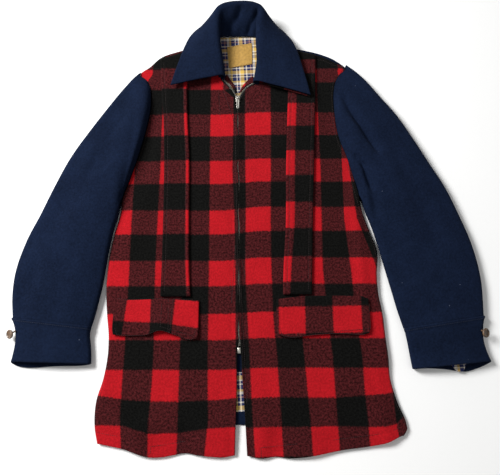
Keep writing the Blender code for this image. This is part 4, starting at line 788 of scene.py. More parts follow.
MAKERS = {
    "check_mackinaw": check_material,
    "navy_melton": melton_material,
    "plaid_flannel": flannel_material,
    "label_cloth": label_material,
    "zip_tape": tape_material,
    "zip_metal": metal_material,
    "horn": horn_material,
}
MADE = {}


def slot_material(slot):
    """The material of one of the record's slots, made once."""
    if slot not in MADE:
        MADE[slot] = MAKERS[slot](bpy.context.scene.jacket_colours)
    return MADE[slot]


# The body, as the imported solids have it

def front_height(side, x, y):
    """Height of the upper face of a front above the floor."""
    x = np.asarray(x, float)
    y = np.asarray(y, float)
    hem = smooth([-450, -415, -370, -300], [6.0, 8.0, 9.6, BODY_HEIGHT], y)
    folds = RIGHT_FOLDS if side < 0 else LEFT_FOLDS
    height = hem + fold_height(folds, x, y)
    lowest = smooth([-450, -405, -385, -300], [3.6, 4.6, 7.0, 7.4], y)
    return lowest + np.logaddexp(0, (height - lowest) * 1.5) / 1.5


def edge_x(table, levels):
    """Where a line of the outline crosses the given levels of Y."""
    return smooth(column_of(table, "y"), column_of(table, "x"), levels)


def outward(table, levels, side):
    """Unit directions out of a panel, in plan, where its outline crosses the given levels of Y."""
    below = np.clip(levels - 1, table[0].y, table[-1].y - 1)
    above = np.clip(levels + 1, table[0].y + 1, table[-1].y)
    slope = (edge_x(table, above) - edge_x(table, below)) / (above - below)
    away = np.stack([np.ones(len(levels)), -slope], axis=1) * side
    return unit(away)


def side_rows(side, levels, border, armhole, shoulder, rolls):
    """Places, outward directions and roll angles of a panel's outer edge at the given levels of Y."""
    corner = armhole[-1].y
    low = border + armhole[1:]
    high = sorted(shoulder, key=lambda p: p.y)
    x = np.where(levels <= corner, edge_x(low, levels), edge_x(high, levels))
    above = ease((levels - corner + 0.5) / 1.0)[:, None]
    away = outward(low, levels, side) * (1 - above) + outward(high, levels, side) * above
    away = unit(away)
    angle = rolls[0] * (1 - ease((levels - armhole[0].y + UNDERARM_FADE) / UNDERARM_FADE))
    angle += rolls[1] * ease((levels - corner) / CORNER_FADE)
    return np.stack([x, levels], axis=1), away, angle


def panel_levels(side, armhole, top):
    """Levels of Y of a panel's outer edge: side seam, armhole and shoulder."""
    levels = np.array(RIGHT_LEVELS if side < 0 else LEFT_LEVELS, float)
    corner = armhole[-1].y
    border = np.linspace(BACK_HEM_Y, levels[0], SIDE_ROWS)[:-1]
    rise = np.sin(np.linspace(0, math.pi / 2, SHOULDER_ROWS + 1))[1:]
    return np.concatenate([border, np.minimum(levels, corner), corner + (top - corner) * rise])


def edge_height(side, edge, away):
    """Height of a front just inside the roll of its outer edge."""
    inside = edge - away * BODY_HEIGHT / 2
    return front_height(side, inside[:, 0], inside[:, 1])


def roll_columns(edge, away, angle, height, upper):
    """Points of a panel's edge as it rolls towards its seam, one column for each step of the roll."""
    radius = height / 2
    half = radius - ROLL_SPLIT
    columns = []
    for k in range(1, ROLL_STEPS + 1):
        share = k / ROLL_STEPS
        turn = angle * share
        bend = np.clip(angle / (math.pi / 2), 0, 1)
        reach = radius * (np.sin(turn) * bend + share * (1 - bend))
        place = edge - away * (radius - reach)[:, None]
        drop = half * (1 - np.cos(turn))
        z = height - drop if upper else drop
        columns.append(raised(place, z))
    return columns


def front_tables(side):
    """The outline of a front: hem, zip edge, side, armhole, neck and shoulder."""
    if side < 0:
        return RIGHT_HEM, RIGHT_EDGE, RIGHT_SIDE, RIGHT_ARMHOLE, RIGHT_NECK, RIGHT_SHOULDER
    armhole = LEFT_ARMHOLE[:-1] + [LEFT_FRONT_SHOULDER[-1]]
    return LEFT_HEM, LEFT_EDGE, LEFT_SIDE, armhole, LEFT_NECK, LEFT_FRONT_SHOULDER


def front_grid(side):
    """Outer face of a front: rows from the hem to the neck, columns from the zip to the side."""
    hem, edge, border, armhole, neck, shoulder = front_tables(side)
    rolls = (math.pi / 2, math.pi / 2 if side < 0 else 0.0)
    levels = panel_levels(side, armhole, neck[-1].y - NECK_POINT)
    steps = np.linspace(0, 1, HEM_ROWS + 1)[:-1]
    outer_y = np.concatenate([border[0].y * (1 - steps) + levels[0] * steps, levels])
    inner_y = np.concatenate([edge[0].y * (1 - steps) + levels[0] * steps, levels])
    bow = np.concatenate([1 - steps, np.zeros(len(levels))])
    middle = edge + neck[1:]
    inner = np.stack([edge_x(middle, inner_y), inner_y], axis=1)
    outer, away, angle = side_rows(side, outer_y, border, armhole, shoulder, rolls)
    height = edge_height(side, outer, away)
    flat_edge = outer - away * height[:, None] / 2
    u = np.linspace(0, 1, FRONT_COLUMNS)
    grid = blend(inner[:, None], flat_edge[:, None], u[None, :])
    hem_table = sorted(hem, key=lambda p: p.x)
    hem_y = smooth(column_of(hem_table, "x"), column_of(hem_table, "y"), grid[..., 0])
    chord = hem[0].y + (hem[-1].y - hem[0].y) * u
    grid[..., 1] += (hem_y - chord) * bow[:, None]
    z = front_height(side, grid[..., 0], grid[..., 1])
    z[:, -1] = height
    grid = raised(grid, z)
    rolled = roll_columns(outer, away, angle, height, True)
    return with_rolls(grid, [], rolled)


def back_side(side):
    """Outer edge of the back on one side, and the height of the front that meets it there."""
    border = RIGHT_SIDE if side < 0 else LEFT_SIDE
    armhole = RIGHT_ARMHOLE if side < 0 else LEFT_ARMHOLE
    shoulder = RIGHT_SHOULDER if side < 0 else LEFT_SHOULDER
    levels = panel_levels(side, armhole, shoulder[0].y - NECK_POINT)
    rolls = (math.pi / 2, math.pi / 2 if side < 0 else math.pi)
    points, away, angle = side_rows(side, levels, border, armhole, shoulder, rolls)
    height = edge_height(side, points, away)
    rolled = roll_columns(points, away, angle, height, False)
    return points - away * height[:, None] / 2, levels, rolled


def back_grid():
    """Outer, lower face of the back: rows from the hem to the neck, columns from right to left."""
    right, levels, right_roll = back_side(-1)
    left, _, left_roll = back_side(1)
    u = np.linspace(0, 1, BACK_COLUMNS)
    grid = blend(right[:, None], left[:, None], u[None, :])
    neck_rise = ease((levels - levels[-2]) / (levels[-1] - levels[-2]))
    grid[..., 1] += (BACK_NECK_Y - levels[-1]) * neck_rise[:, None] * np.sin(math.pi * u)[None, :]
    grid = np.concatenate([grid, np.zeros(grid.shape[:2] + (1,))], axis=2)
    return with_rolls(grid, right_roll, left_roll)


# Sleeves and cuffs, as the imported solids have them

def sleeve_rows(side):
    """Plan of a sleeve: both edges, height and armhole bow of each row, from armhole to cuff."""
    table = RIGHT_SLEEVE if side < 0 else LEFT_SLEEVE
    places = np.arange(len(table), dtype=float)
    wanted = np.linspace(0, len(table) - 1, SLEEVE_ROWS)
    inner = np.stack([smooth(places, column_of(table, name), wanted) for name in ("inner_x", "inner_y")], 1)
    outer = np.stack([smooth(places, column_of(table, name), wanted) for name in ("outer_x", "outer_y")], 1)
    height = smooth(places, column_of(table, "height"), wanted)
    bow = np.clip(1 - wanted / BOW_ROWS, 0, 1) ** 1.5
    return inner, outer, height, bow


def sleeve_plan(side, gap):
    """Plan of a sleeve between its two side rolls, with extra rows close to the armhole."""
    inner, outer, height, bow = sleeve_rows(side)
    line = outer - inner
    across = unit(line)
    radius = SLEEVE_ROLL * height
    armhole = RIGHT_ARMHOLE if side < 0 else LEFT_ARMHOLE
    border = RIGHT_SIDE if side < 0 else LEFT_SIDE
    levels = np.array(RIGHT_LEVELS if side < 0 else LEFT_LEVELS, float)
    table = border + armhole[1:]
    curve = np.stack([edge_x(table, levels), levels], axis=1)
    u = (levels - levels[0]) / (levels[-1] - levels[0])
    start = inner + across * radius[:, None]
    end = outer - across * radius[:, None]
    plan = blend(start[:, None], end[:, None], u[None, :])
    chord = blend(curve[:1], curve[-1:], u)
    plan += (curve - chord)[None] * bow[:, None, None]
    plan[0] = curve + outward(table, levels, side) * gap
    step = plan[1] - plan[0]
    length = np.linalg.norm(step, axis=1, keepdims=True)
    plan[0] += step / length * CORNER_GAP * (2 * u[:, None] - 1) ** 8
    step = plan[1] - plan[0]
    near = [plan[0] + step / length * np.minimum(reach, share * np.linalg.norm(step, axis=1, keepdims=True))
            for reach, share in zip(ARMHOLE_STEPS, ARMHOLE_SHARES)]
    rows = np.array(near + list(plan[1:]))
    first = len(ARMHOLE_STEPS)
    share = np.array(ARMHOLE_SHARES)
    height = np.concatenate([height[0] + (height[1] - height[0]) * share, height[1:]])
    across = np.concatenate([np.repeat(across[:1], first, axis=0), across[1:]])
    away = np.linalg.norm(rows - curve[None], axis=2)
    return rows, height, across, away, u


def sleeve_wall(side, upper):
    """Outer face of a top sleeve or an under sleeve, with a roll at each side."""
    rows, height, across, away, u = sleeve_plan(side, ARMHOLE_GAP)
    radius = SLEEVE_ROLL * height
    folds = RIGHT_SLEEVE_FOLDS if side < 0 else LEFT_SLEEVE_FOLDS
    settle = ease(away / 30.0)
    edge_settle = [settle[:, 0], settle[:, -1]]
    if upper:
        low = 2 * radius[:, None]
        crown = low + (height[:, None] - low) * (1 - (2 * u - 1) ** 2)[None, :]
        if side < 0:
            rise = np.sqrt(np.clip(1 - (1 - np.clip(away / STEEP_RISE, 0, 1)) ** 2, 0, 1))
            foot = BODY_HEIGHT - 0.6
        else:
            rise = ease(away / EASY_RISE)
            foot = BODY_HEIGHT
        crown = crown + fold_height(folds, rows[..., 0], rows[..., 1]) * settle
        z = foot + (crown - foot) * rise
    else:
        z = np.zeros(rows.shape[:2])
    grid = raised(rows, z)
    sides = []
    for end, sign in ((0, -1), (-1, 1)):
        direction = across * sign
        start = rows[:, end]
        level = z[:, end]
        bend = edge_settle[end] if end == 0 else np.maximum(edge_settle[end], 0.55)
        reach_whole = np.minimum(radius, radius * bend + CORNER_REACH)
        columns = []
        for k in range(1, SLEEVE_STEPS + 1):
            turn = math.pi / 2 * k / SLEEVE_STEPS
            place = start + direction * (reach_whole * math.sin(turn))[:, None]
            middle = radius * bend + (1 - bend) * (level if upper else 3.0)
            if upper:
                goal = middle + ROLL_SPLIT * np.clip(bend * 4, 0, 1)
                height_here = goal + (level - goal) * math.cos(turn)
            else:
                goal = np.minimum(middle, radius * bend + 0.4) - ROLL_SPLIT
                height_here = goal * (1 - math.cos(turn))
            columns.append(raised(place, height_here))
        sides.append(columns)
    return with_rolls(grid, *sides)


def cuff_ring(section, thickness, droop):
    """One ring of a cuff: a flat underside, round sides and a slightly crowned top."""
    inner = np.array([section.inner_x, section.inner_y], float)
    outer = np.array([section.outer_x, section.outer_y], float)
    line = outer - inner
    width = np.linalg.norm(line)
    across = line / width
    radius = SLEEVE_ROLL * section.height - thickness
    points = []
    for x in np.linspace(radius, width - 2 * thickness - radius, CUFF_COLUMNS):
        points.append((x + thickness, thickness))
    for turn in np.linspace(-math.pi / 2, math.pi / 2, 2 * SLEEVE_STEPS + 1)[1:-1]:
        points.append((width - thickness - radius + radius * math.cos(turn),
                       thickness + radius + radius * math.sin(turn)))
    top = thickness + 2 * radius
    crown = section.height - 2 * SLEEVE_ROLL * section.height
    for x in np.linspace(width - 2 * thickness - radius, radius, CUFF_COLUMNS):
        share = (x - radius) / (width - 2 * thickness - 2 * radius)
        points.append((x + thickness, top + crown * (1 - (2 * share - 1) ** 2)))
    for turn in np.linspace(math.pi / 2, 3 * math.pi / 2, 2 * SLEEVE_STEPS + 1)[1:-1]:
        points.append((thickness + radius + radius * math.cos(turn),
                       thickness + radius + radius * math.sin(turn)))
    places = np.array(points)
    plan = inner + across * places[:, :1]
    sag = smooth(np.linspace(0, 1, len(droop)), droop, places[:, 0] / width)
    low = np.clip(1 - (places[:, 1] - thickness) / (2 * radius), 0, 1)
    plan[:, 1] += sag * low
    return np.concatenate([plan, places[:, 1:]], axis=1)


def cuff_rings(side, thickness):
    """Rings of a cuff from its seam to its hem, with the hem of the lower layer hanging out."""
    table = RIGHT_CUFF if side < 0 else LEFT_CUFF
    hem = RIGHT_CUFF_HEM if side < 0 else LEFT_CUFF_HEM
    shares = np.linspace(0, 1, len(table)) ** 2
    return np.array([cuff_ring(row, thickness, np.array(hem) * share) for row, share in zip(table, shares)])


# Collar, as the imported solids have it

def collar_row(row, forward):
    """Path of the collar's visible face at one row: up the stand, over the roll, down to the edge."""
    roll = np.array([row.roll_x, row.roll_y], float)
    seam = np.array([row.seam_x, row.seam_y], float)
    edge = np.array([row.edge_x, row.edge_y], float)
    away = np.array([-forward[1], forward[0]])
    centre = row.roll_z - ROLL_RADIUS
    seam_out = float(np.dot(seam - roll, away))
    edge_out = float(np.dot(edge - roll, away))
    seam_angle = math.atan2(row.seam_z - centre, seam_out) % (2 * math.pi)
    edge_angle = math.atan2(row.edge_z - centre, edge_out)
    seam_far = math.hypot(seam_out, row.seam_z - centre)
    edge_far = math.hypot(edge_out, row.edge_z - centre)
    leave = seam_angle - math.acos(min(ROLL_RADIUS / seam_far, 1))
    meet = edge_angle + math.acos(min(ROLL_RADIUS / edge_far, 1))
    path = []
    begin = (ROLL_RADIUS * math.cos(leave), centre + ROLL_RADIUS * math.sin(leave))
    finish = (ROLL_RADIUS * math.cos(meet), centre + ROLL_RADIUS * math.sin(meet))
    for t in np.linspace(0, 1, STAND_STEPS + 1)[:-1]:
        path.append((seam_out + (begin[0] - seam_out) * t, row.seam_z + (begin[1] - row.seam_z) * t, 1 - t))
    for turn in np.linspace(leave, meet, ROLL_POINTS):
        path.append((ROLL_RADIUS * math.cos(turn), centre + ROLL_RADIUS * math.sin(turn), 0.0))
    lift = LEAF_CROWN * min(1.0, max(0.0, edge_out / 60))
    for t in np.linspace(0, 1, LEAF_STEPS + 1)[1:]:
        path.append((finish[0] + (edge_out - finish[0]) * t,
                     finish[1] + (row.edge_z - finish[1]) * t + lift * math.sin(math.pi * t), -t))
    seam_slip = seam - roll - away * seam_out
    edge_slip = edge - roll - away * edge_out
    points = []
    for out, z, share in path:
        slip = seam_slip * share if share > 0 else edge_slip * -share
        place = roll + away * out + slip
        points.append((place[0], place[1], z))
    return points


def collar_grid():
    """Visible face of the collar: a row for each place from its right front end to its left one."""
    places = np.arange(len(COLLAR), dtype=float)
    wanted = np.linspace(0, len(COLLAR) - 1, COLLAR_ROWS)
    values = {name: smooth(places, column_of(COLLAR, name), wanted) for name in CollarRow._fields}
    line = np.stack([values["roll_x"], values["roll_y"]], axis=1)
    forward = np.gradient(line, axis=0)
    forward = unit(forward)
    rows = []
    for i in range(COLLAR_ROWS):
        row = CollarRow(*[float(values[name][i]) for name in CollarRow._fields])
        rows.append(collar_row(row, forward[i]))
    return np.array(rows)


def under_collar_grid():
    """Visible face of the under collar, below the left leaf and just past its front edge."""
    leaf = collar_grid()
    below = leaf + surface_normals(leaf) * (MELTON + SEAM)
    below = below[UNDER_COLLAR_FROM_ROW:, STAND_STEPS + ROLL_POINTS:]
    run = below[-1] - below[-2]
    below[-1] += unit(run) * UNDER_COLLAR_SHOWS
    return below


# Lining, facings and label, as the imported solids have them

def lining_height(y):
    """Height of the upper face of the neck lining."""
    return NECK_LINING_Z + NECK_LINING_RISE * ease((np.asarray(y, float) - 325) / 66)


def neck_lining_grid():
    """Upper face of the lining of the back, where the neck shows it."""
    rows = np.linspace(NECK_LINING[0].y, NECK_LINING[-1].y, 9)
    left = smooth(column_of(NECK_LINING, "y"), column_of(NECK_LINING, "x"), rows)
    right = smooth(column_of(NECK_LINING, "y"), column_of(NECK_LINING, "to_x"), rows)
    u = np.linspace(0, 1, 6)
    x = left[:, None] * (1 - u) + right[:, None] * u
    y = np.broadcast_to(rows[:, None], x.shape)
    return np.stack([x, y, lining_height(y)], axis=2)


def label_grid():
    """Upper face of the neck label, which lies on the lining."""
    low = blend(np.array(LABEL_CORNERS[0]), np.array(LABEL_CORNERS[1]), np.linspace(0, 1, 4))
    high = blend(np.array(LABEL_CORNERS[3]), np.array(LABEL_CORNERS[2]), np.linspace(0, 1, 4))
    plan = np.array([low * (1 - v) + high * v for v in np.linspace(0, 1, 4)])
    z = lining_height(plan[..., 1]) + SEAM + LABEL_THICK
    return raised(plan, z)


def hem_lining_grid():
    """Upper face of the end of the lining that shows between the fronts above the back's hem."""
    x, y = np.meshgrid(np.linspace(HEM_LINING[0].x, HEM_LINING[1].x, 4),
                       np.linspace(HEM_LINING[0].y, HEM_LINING[1].y, 4))
    return np.stack([x, y, np.full(x.shape, NECK_LINING_Z)], axis=2)


def cuff_lining_grid():
    """Upper face of the lining that shows in the mouth of the left cuff."""
    v = np.linspace(0, 1, 5)
    middle = CUFF_LINING.x + (CUFF_LINING.to_x - CUFF_LINING.x) * v
    half = CUFF_LINING.width * (1 - 0.7 * v ** 2)
    u = np.linspace(-1, 1, 5)
    x = middle[:, None] + half[:, None] * u
    y = np.broadcast_to((CUFF_LINING.y + (CUFF_LINING.to_y - CUFF_LINING.y) * v)[:, None], x.shape)
    hump = CUFF_LINING.height * (v * (2 - v))[:, None] * (1 - u ** 2)[None, :]
    return np.stack([x, y, DOUBLE_MELTON + SEAM + FLANNEL + hump], axis=2)


def facing_grid(side):
    """Visible face of a facing: from the zip's opened end down into the neck."""
    rows = RIGHT_FACING if side < 0 else LEFT_FACING
    outer = along([(row.x, row.y) for row in rows], np.linspace(0, 1, 6))
    inner = along([(row.to_x, row.to_y) for row in rows], np.linspace(0, 1, 6))
    u = np.linspace(0, 1, 4)
    plan = blend(outer[:, None], inner[:, None], u[None, :])
    z = np.broadcast_to(FACING_TOP + (FACING_LOW - FACING_TOP) * u, plan.shape[:2])
    return raised(plan, z)


# Zip paths

def ribbon_rings(path, reach_in, reach_out, side, floor, height):
    """Rectangular sections along a path in plan, from one reach to the other across it."""
    run = np.gradient(path, axis=0)
    away = np.stack([-run[:, 1], run[:, 0]], axis=1)
    away = unit(away)
    away *= side * np.sign(away[0, 0])
    rings = []
    for point, out in zip(path, away):
        a = point + out * reach_in
        b = point + out * reach_out
        rings.append([(*a, floor), (*b, floor), (*b, floor + height), (*a, floor + height)])
    return np.array(rings)


def chain_path(side, start_y=None):
    """Middle line of one half of the zip's chain, with its opened end along the neck."""
    table = RIGHT_CHAIN if side < 0 else LEFT_CHAIN
    straight = along(table[:3], np.linspace(0, 1, 4)[:-1])
    opened = along(table[2:], np.linspace(0, 1, 12))
    path = np.concatenate([straight, opened])
    if start_y is not None:
        path[0, 1] = start_y
    return path


# Finer surfaces

def resample(lines, places):
    """Points on smooth lines through rows of points: place 2.5 is halfway from point 2 to point 3."""
    chord = np.diff(lines, axis=1)
    step = np.maximum(np.linalg.norm(chord, axis=2, keepdims=True), 1e-6)
    slope = chord / step
    turn = (slope[:, :-1] * step[:, 1:] + slope[:, 1:] * step[:, :-1]) / (step[:, 1:] + step[:, :-1])
    tangent = np.concatenate([slope[:, :1], turn, slope[:, -1:]], axis=1)
    i = np.minimum(places.astype(int), lines.shape[1] - 2)
    t = (places - i)[None, :, None]
    span = step[:, i]
    return (lines[:, i] * (1 + 2 * t) * (1 - t) ** 2 + tangent[:, i] * span * t * (1 - t) ** 2
            + lines[:, i + 1] * t * t * (3 - 2 * t) + tangent[:, i + 1] * span * t * t * (t - 1))


def finer_places(lines, cell, rim):
    """Places about one cell apart along rows of points, with a few more close to each end."""
    step = np.linalg.norm(np.diff(lines, axis=1), axis=2).mean(axis=0)
    far = np.concatenate([[0], np.cumsum(step)])
    places = []
    for j, length in enumerate(step):
        count = max(1, round(length / cell))
        places += list(j + np.arange(count) / count)
    close = rim * np.array([0.0, 0.12, 0.4, 1.0])
    start = np.interp(close, far, np.arange(len(far)))
    end = np.interp(far[-1] - close[::-1], far, np.arange(len(far)))
    after = np.interp(rim * 1.5, far, np.arange(len(far)))
    before = np.interp(far[-1] - rim * 1.5, far, np.arange(len(far)))
    return np.concatenate([start, [p for p in places if after < p < before], end])


def refine(grid, cell, rim=1.5):
    """A finer grid on the same surface, and the old places of its rows and columns."""
    across = finer_places(grid, cell, rim)
    fine = resample(grid, across).transpose(1, 0, 2)
    down = finer_places(grid.transpose(1, 0, 2), cell, rim)
    fine = resample(fine, down).transpose(1, 0, 2)
    fine[..., 2] = np.maximum(fine[..., 2], grid[..., 2].min())
    return fine, down, across


def rim_distances(grid):
    """Distance of each point from the first column, last column, first row and last row."""
    left = distance_along(grid.transpose(1, 0, 2)).T
    low = distance_along(grid)
    return left, left[:, -1:] - left, low, low[-1:] - low


def groove(distance, at):
    """How far a row of stitching pulls the cloth down, by the distance from it."""
    return -GROOVE_DEPTH * np.exp(-((distance - at) / GROOVE_WIDTH) ** 2)


def ripple(x, y):
    """The slow unevenness of thick wool that lies loosely."""
    one = np.sin(x / 21.0 + 1.7 * np.sin(y / 57.0)) * np.sin(y / 34.0 + 1.1 * np.sin(x / 43.0))
    two = np.sin((x + 0.6 * y) / 12.5 + 2.0 * np.sin(y / 71.0))
    return 0.34 * one + 0.12 * two


def face_up(grid, up):
    """Unit normals of a grid, turned up or down at its middle."""
    normal = surface_normals(grid)
    if (normal[grid.shape[0] // 2, grid.shape[1] // 2, 2] > 0) != up:
        normal = -normal
    return normal


def cloth_mesh(name, points, faces, cloth=None):
    """A named object from points in millimetres, with the cloth's own metres as its UV map."""
    mesh = bpy.data.meshes.new(name)
    mesh.from_pydata((np.asarray(points, float) * MM).tolist(), [], faces)
    if cloth is not None:
        corner = np.zeros(len(mesh.loops), dtype=np.int32)
        mesh.loops.foreach_get("vertex_index", corner)
        layer = mesh.uv_layers.new(name="cloth")
        layer.data.foreach_set("uv", np.asarray(cloth, np.float32)[corner].ravel())
    shape = bmesh.new()
    shape.from_mesh(mesh)
    bmesh.ops.recalc_face_normals(shape, faces=shape.faces[:])
    shape.to_mesh(mesh)
    shape.free()
    mesh.shade_smooth()
    item = bpy.data.objects.new(name, mesh)
    bpy.context.scene.collection.objects.link(item)
    return item


def sheet_faces(rows, columns):
    """Faces of a closed wall: outer face, inner face and rim."""
    count = rows * columns
    faces = []
    for i in range(rows - 1):
        for j in range(columns - 1):
            a = i * columns + j
            faces.append((a, a + 1, a + columns + 1, a + columns))
            b = a + count
            faces.append((b, b + columns, b + columns + 1, b + 1))
    rim = list(range(columns))
    rim += [i * columns + columns - 1 for i in range(1, rows)]
    rim += [(rows - 1) * columns + j for j in range(columns - 2, -1, -1)]
    rim += [i * columns for i in range(rows - 2, 0, -1)]
    for k, first in enumerate(rim):
        second = rim[(k + 1) % len(rim)]
        faces.append((first, first + count, second + count, second))
    return faces


def cloth_wall(name, grid, thickness, up=True, cloth=None, rims=(1, 1, 1, 1)):
    """A wall of cloth with rounded edges: rims give each edge's share of the full rounding."""
    normal = face_up(grid, up)
    drop = np.zeros(grid.shape[:2])
    for distance, share in zip(rim_distances(grid), rims):
        radius = thickness / 2 * share
        inside = np.clip(radius - distance, 0, radius)
        drop = np.maximum(drop, 0.92 * (radius - np.sqrt(radius ** 2 - inside ** 2)))
    outer = grid - normal * drop[..., None]
    inner = grid - normal * (thickness - drop)[..., None]
    points = np.concatenate([outer.reshape(-1, 3), inner.reshape(-1, 3)])
    points[:, 2] = np.maximum(points[:, 2], FLOOR_AIR)
    if cloth is not None:
        cloth = np.concatenate([cloth.reshape(-1, 2)] * 2)
    return cloth_mesh(name, points, sheet_faces(*grid.shape[:2]), cloth)


def swept_mesh(name, rings, cloth=None):
    """A closed section carried along a row of places, with its two ends capped."""
    rows, columns = rings.shape[:2]
    faces = []
    for i in range(rows - 1):
        for j in range(columns):
            k = (j + 1) % columns
            faces.append((i * columns + j, i * columns + k, (i + 1) * columns + k, (i + 1) * columns + j))
    faces.append(tuple(range(columns - 1, -1, -1)))
    faces.append(tuple((rows - 1) * columns + j for j in range(columns)))
    flat = None if cloth is None else cloth.reshape(-1, 2)
    return cloth_mesh(name, rings.reshape(-1, 3), faces, flat)


def dress(item, slot, *nodes, material=None, body="jacket"):
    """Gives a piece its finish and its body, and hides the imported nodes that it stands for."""
    item.data.materials.clear()
    item.data.materials.append(material or slot_material(slot))
    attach(item, body)
    if nodes:
        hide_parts(*nodes)
    return item


# The check

def band_metres(count):
    """Place on the cloth in metres, from a place counted in bands, of which the even ones are red."""
    pair = np.floor(count / 2)
    rest = count - 2 * pair
    return (pair * (RED_BAND + BLACK_BAND) + np.minimum(rest, 1) * RED_BAND
            + np.maximum(rest - 1, 0) * BLACK_BAND) * MM


def count_bands(value, edges):
    """How many edges of bands lie below each value, with the share of the band that it is in."""
    first = (value - edges[0]) / RED_BAND
    last = (value - edges[-1]) / RED_BAND
    count = np.minimum(first, 0) + np.maximum(last, 0)
    for low, high in zip(edges[:-1], edges[1:]):
        count = count + np.clip((value - low) / (high - low), 0, 1)
    return count


def column_count(table, x, y):
    """Place across a front, counted in bands of its check."""
    levels = column_of(table, "y")
    names = ("first", "second", "third", "fourth", "fifth", "sixth")
    edges = [np.interp(y, levels, column_of(table, name)) for name in names]
    return count_bands(x, edges)


def row_count(x, y):
    """Place up a front, counted in bands of its check."""
    share = np.clip((x + 52) / 70, 0, 1)
    waves = column_of(HEM_WAVES, "x")
    edges = []
    for row in CHECK_ROWS:
        edge = row.right_y * (1 - share) + row.left_y * share
        if row.band <= 2:
            name = "lower_y" if row.band == 1 else "upper_y"
            edge = edge + np.interp(x, waves, column_of(HEM_WAVES, name))
        edges.append(edge)
    return count_bands(y, edges) + 1


def front_cloth(side, x, y):
    """Place on the cloth of a front, in metres."""
    table = RIGHT_COLUMNS if side < 0 else LEFT_COLUMNS
    return np.stack([band_metres(column_count(table, x, y)), band_metres(row_count(x, y))], axis=-1)


# Fronts, back, straps and flaps

def fold_field(side, x, y):
    """The small creases and the slow unevenness of a front."""
    table = RIGHT_CREASES if side < 0 else LEFT_CREASES
    fade = smooth([-450, -425, -380, 320, 380], [0.0, 0.4, 1.0, 1.0, 0.2], y)
    return (fold_height(table, x, y) + ripple(x, y)) * fade


def cloth_top(side, x, y):
    """Height of a front with its small creases."""
    return front_height(side, x, y) + fold_field(side, np.asarray(x, float), np.asarray(y, float))


def fine_front(side, cell):
    """Outer face of a front on a fine grid."""
    grid, _, across = refine(front_grid(side), cell)
    flat = int(np.searchsorted(across, FRONT_COLUMNS - 1 + 1e-6)) - 1
    rise = cloth_top(side, grid[..., 0], grid[..., 1]) - grid[..., 2]
    share = np.clip(1 - (across - (FRONT_COLUMNS - 1)) / ROLL_STEPS, 0, 1)
    rise[:, flat:] = rise[:, flat:flat + 1] * share[flat:]
    grid[..., 2] += rise
    left, _, low, _ = rim_distances(grid)
    for at in PLACKET_STITCHES:
        grid[..., 2] += groove(left, at)
    grid[..., 2] += groove(low, HEM_STITCH)
    # the edge by the zip waves over the teeth, and hides them here and there
    y = grid[..., 1]
    wave = EDGE_REACH + EDGE_SLOW * np.sin(y / 17.0 + side) + EDGE_QUICK * np.sin(y / 7.3 + 2.0 * side)
    wave *= smooth([-262, -240, 215, 238], [0.0, 1.0, 1.0, 0.0], y) * np.exp(-(left / EDGE_FADE) ** 2)
    grid[..., 0] -= side * wave
    grid[..., 2] += EDGE_LIFT * np.maximum(wave, 0)
    return grid


def strap_top(half, turns, spread):
    """Closed section of a strap: its face with a row of stitching near each edge, turned under."""
    cloth = STRAP_CLOTH
    bend = cloth + STRAP_AIR / 2
    centre = SEAM + bend
    crown = SEAM + 2 * bend
    angles = np.linspace(-math.pi / 2, math.pi / 2, turns)
    outer = [(half - bend + bend * math.cos(a), centre + bend * math.sin(a)) for a in angles]
    hollow = STRAP_AIR / 2
    inner = [(half - bend + hollow * math.cos(a), centre + hollow * math.sin(a)) for a in angles]
    face = []
    for x in np.linspace(half - bend, 0, spread)[1:]:
        sink = STRAP_SINK * ease(1 - x / half) - float(groove(half - x, STRAP_STITCH))
        face.append((x, crown - sink))
    right = [(half - bend - STRAP_TURN, SEAM)] + outer + face
    left = [(-x, z) for x, z in reversed(right[:-1])]
    under = [(half - bend - STRAP_TURN, SEAM + cloth)] + inner
    under += [(x, z - cloth) for x, z in face]
    under_left = [(-x, z) for x, z in reversed(under[:-1])]
    return np.array(right + left + list(reversed(under_left)) + list(reversed(under)))


def strap_edges(side, rows):
    """The two edges of a strap at places down the front, from -X to +X."""
    table = RIGHT_STRAP if side < 0 else LEFT_STRAP
    shares = np.linspace(1, 0, rows)
    outer = along([(row.outer_x, row.outer_y) for row in table], shares)
    inner = along([(row.inner_x, row.inner_y) for row in table], shares)
    return (outer, inner) if side < 0 else (inner, outer)


def fine_strap(side, rows):
    """Sections of a strap down the front, and their places on its cloth."""
    rings = []
    cloth = []
    for one, two in zip(*strap_edges(side, rows)):
        half = (two[0] - one[0]) / 2
        section = strap_top(half, 9, 12)
        share = section[:, :1] / half / 2 + 0.5
        place = one * (1 - share) + two * share
        z = cloth_top(side, place[:, 0], place[:, 1]) + section[:, 1]
        rings.append(raised(place, z))
        if side < 0:
            count = 4 + (place[:, 0] - (two[0] - STRAP_RED_RIGHT)) / BLACK_BAND
            rise = 0.0
        else:
            levels, reds = zip(*STRAP_RED_LEFT)
            red = float(np.interp(one[1], levels, reds))
            count = 1 + (place[:, 0] - (one[0] + red)) / BLACK_BAND
            rise = np.interp(place[:, 1], *zip(*STRAP_RISE_LEFT))
        down = row_count(place[:, 0], place[:, 1] - rise)
        cloth.append(np.stack([band_metres(count), band_metres(down)], axis=1))
    return np.array(rings), np.array(cloth)


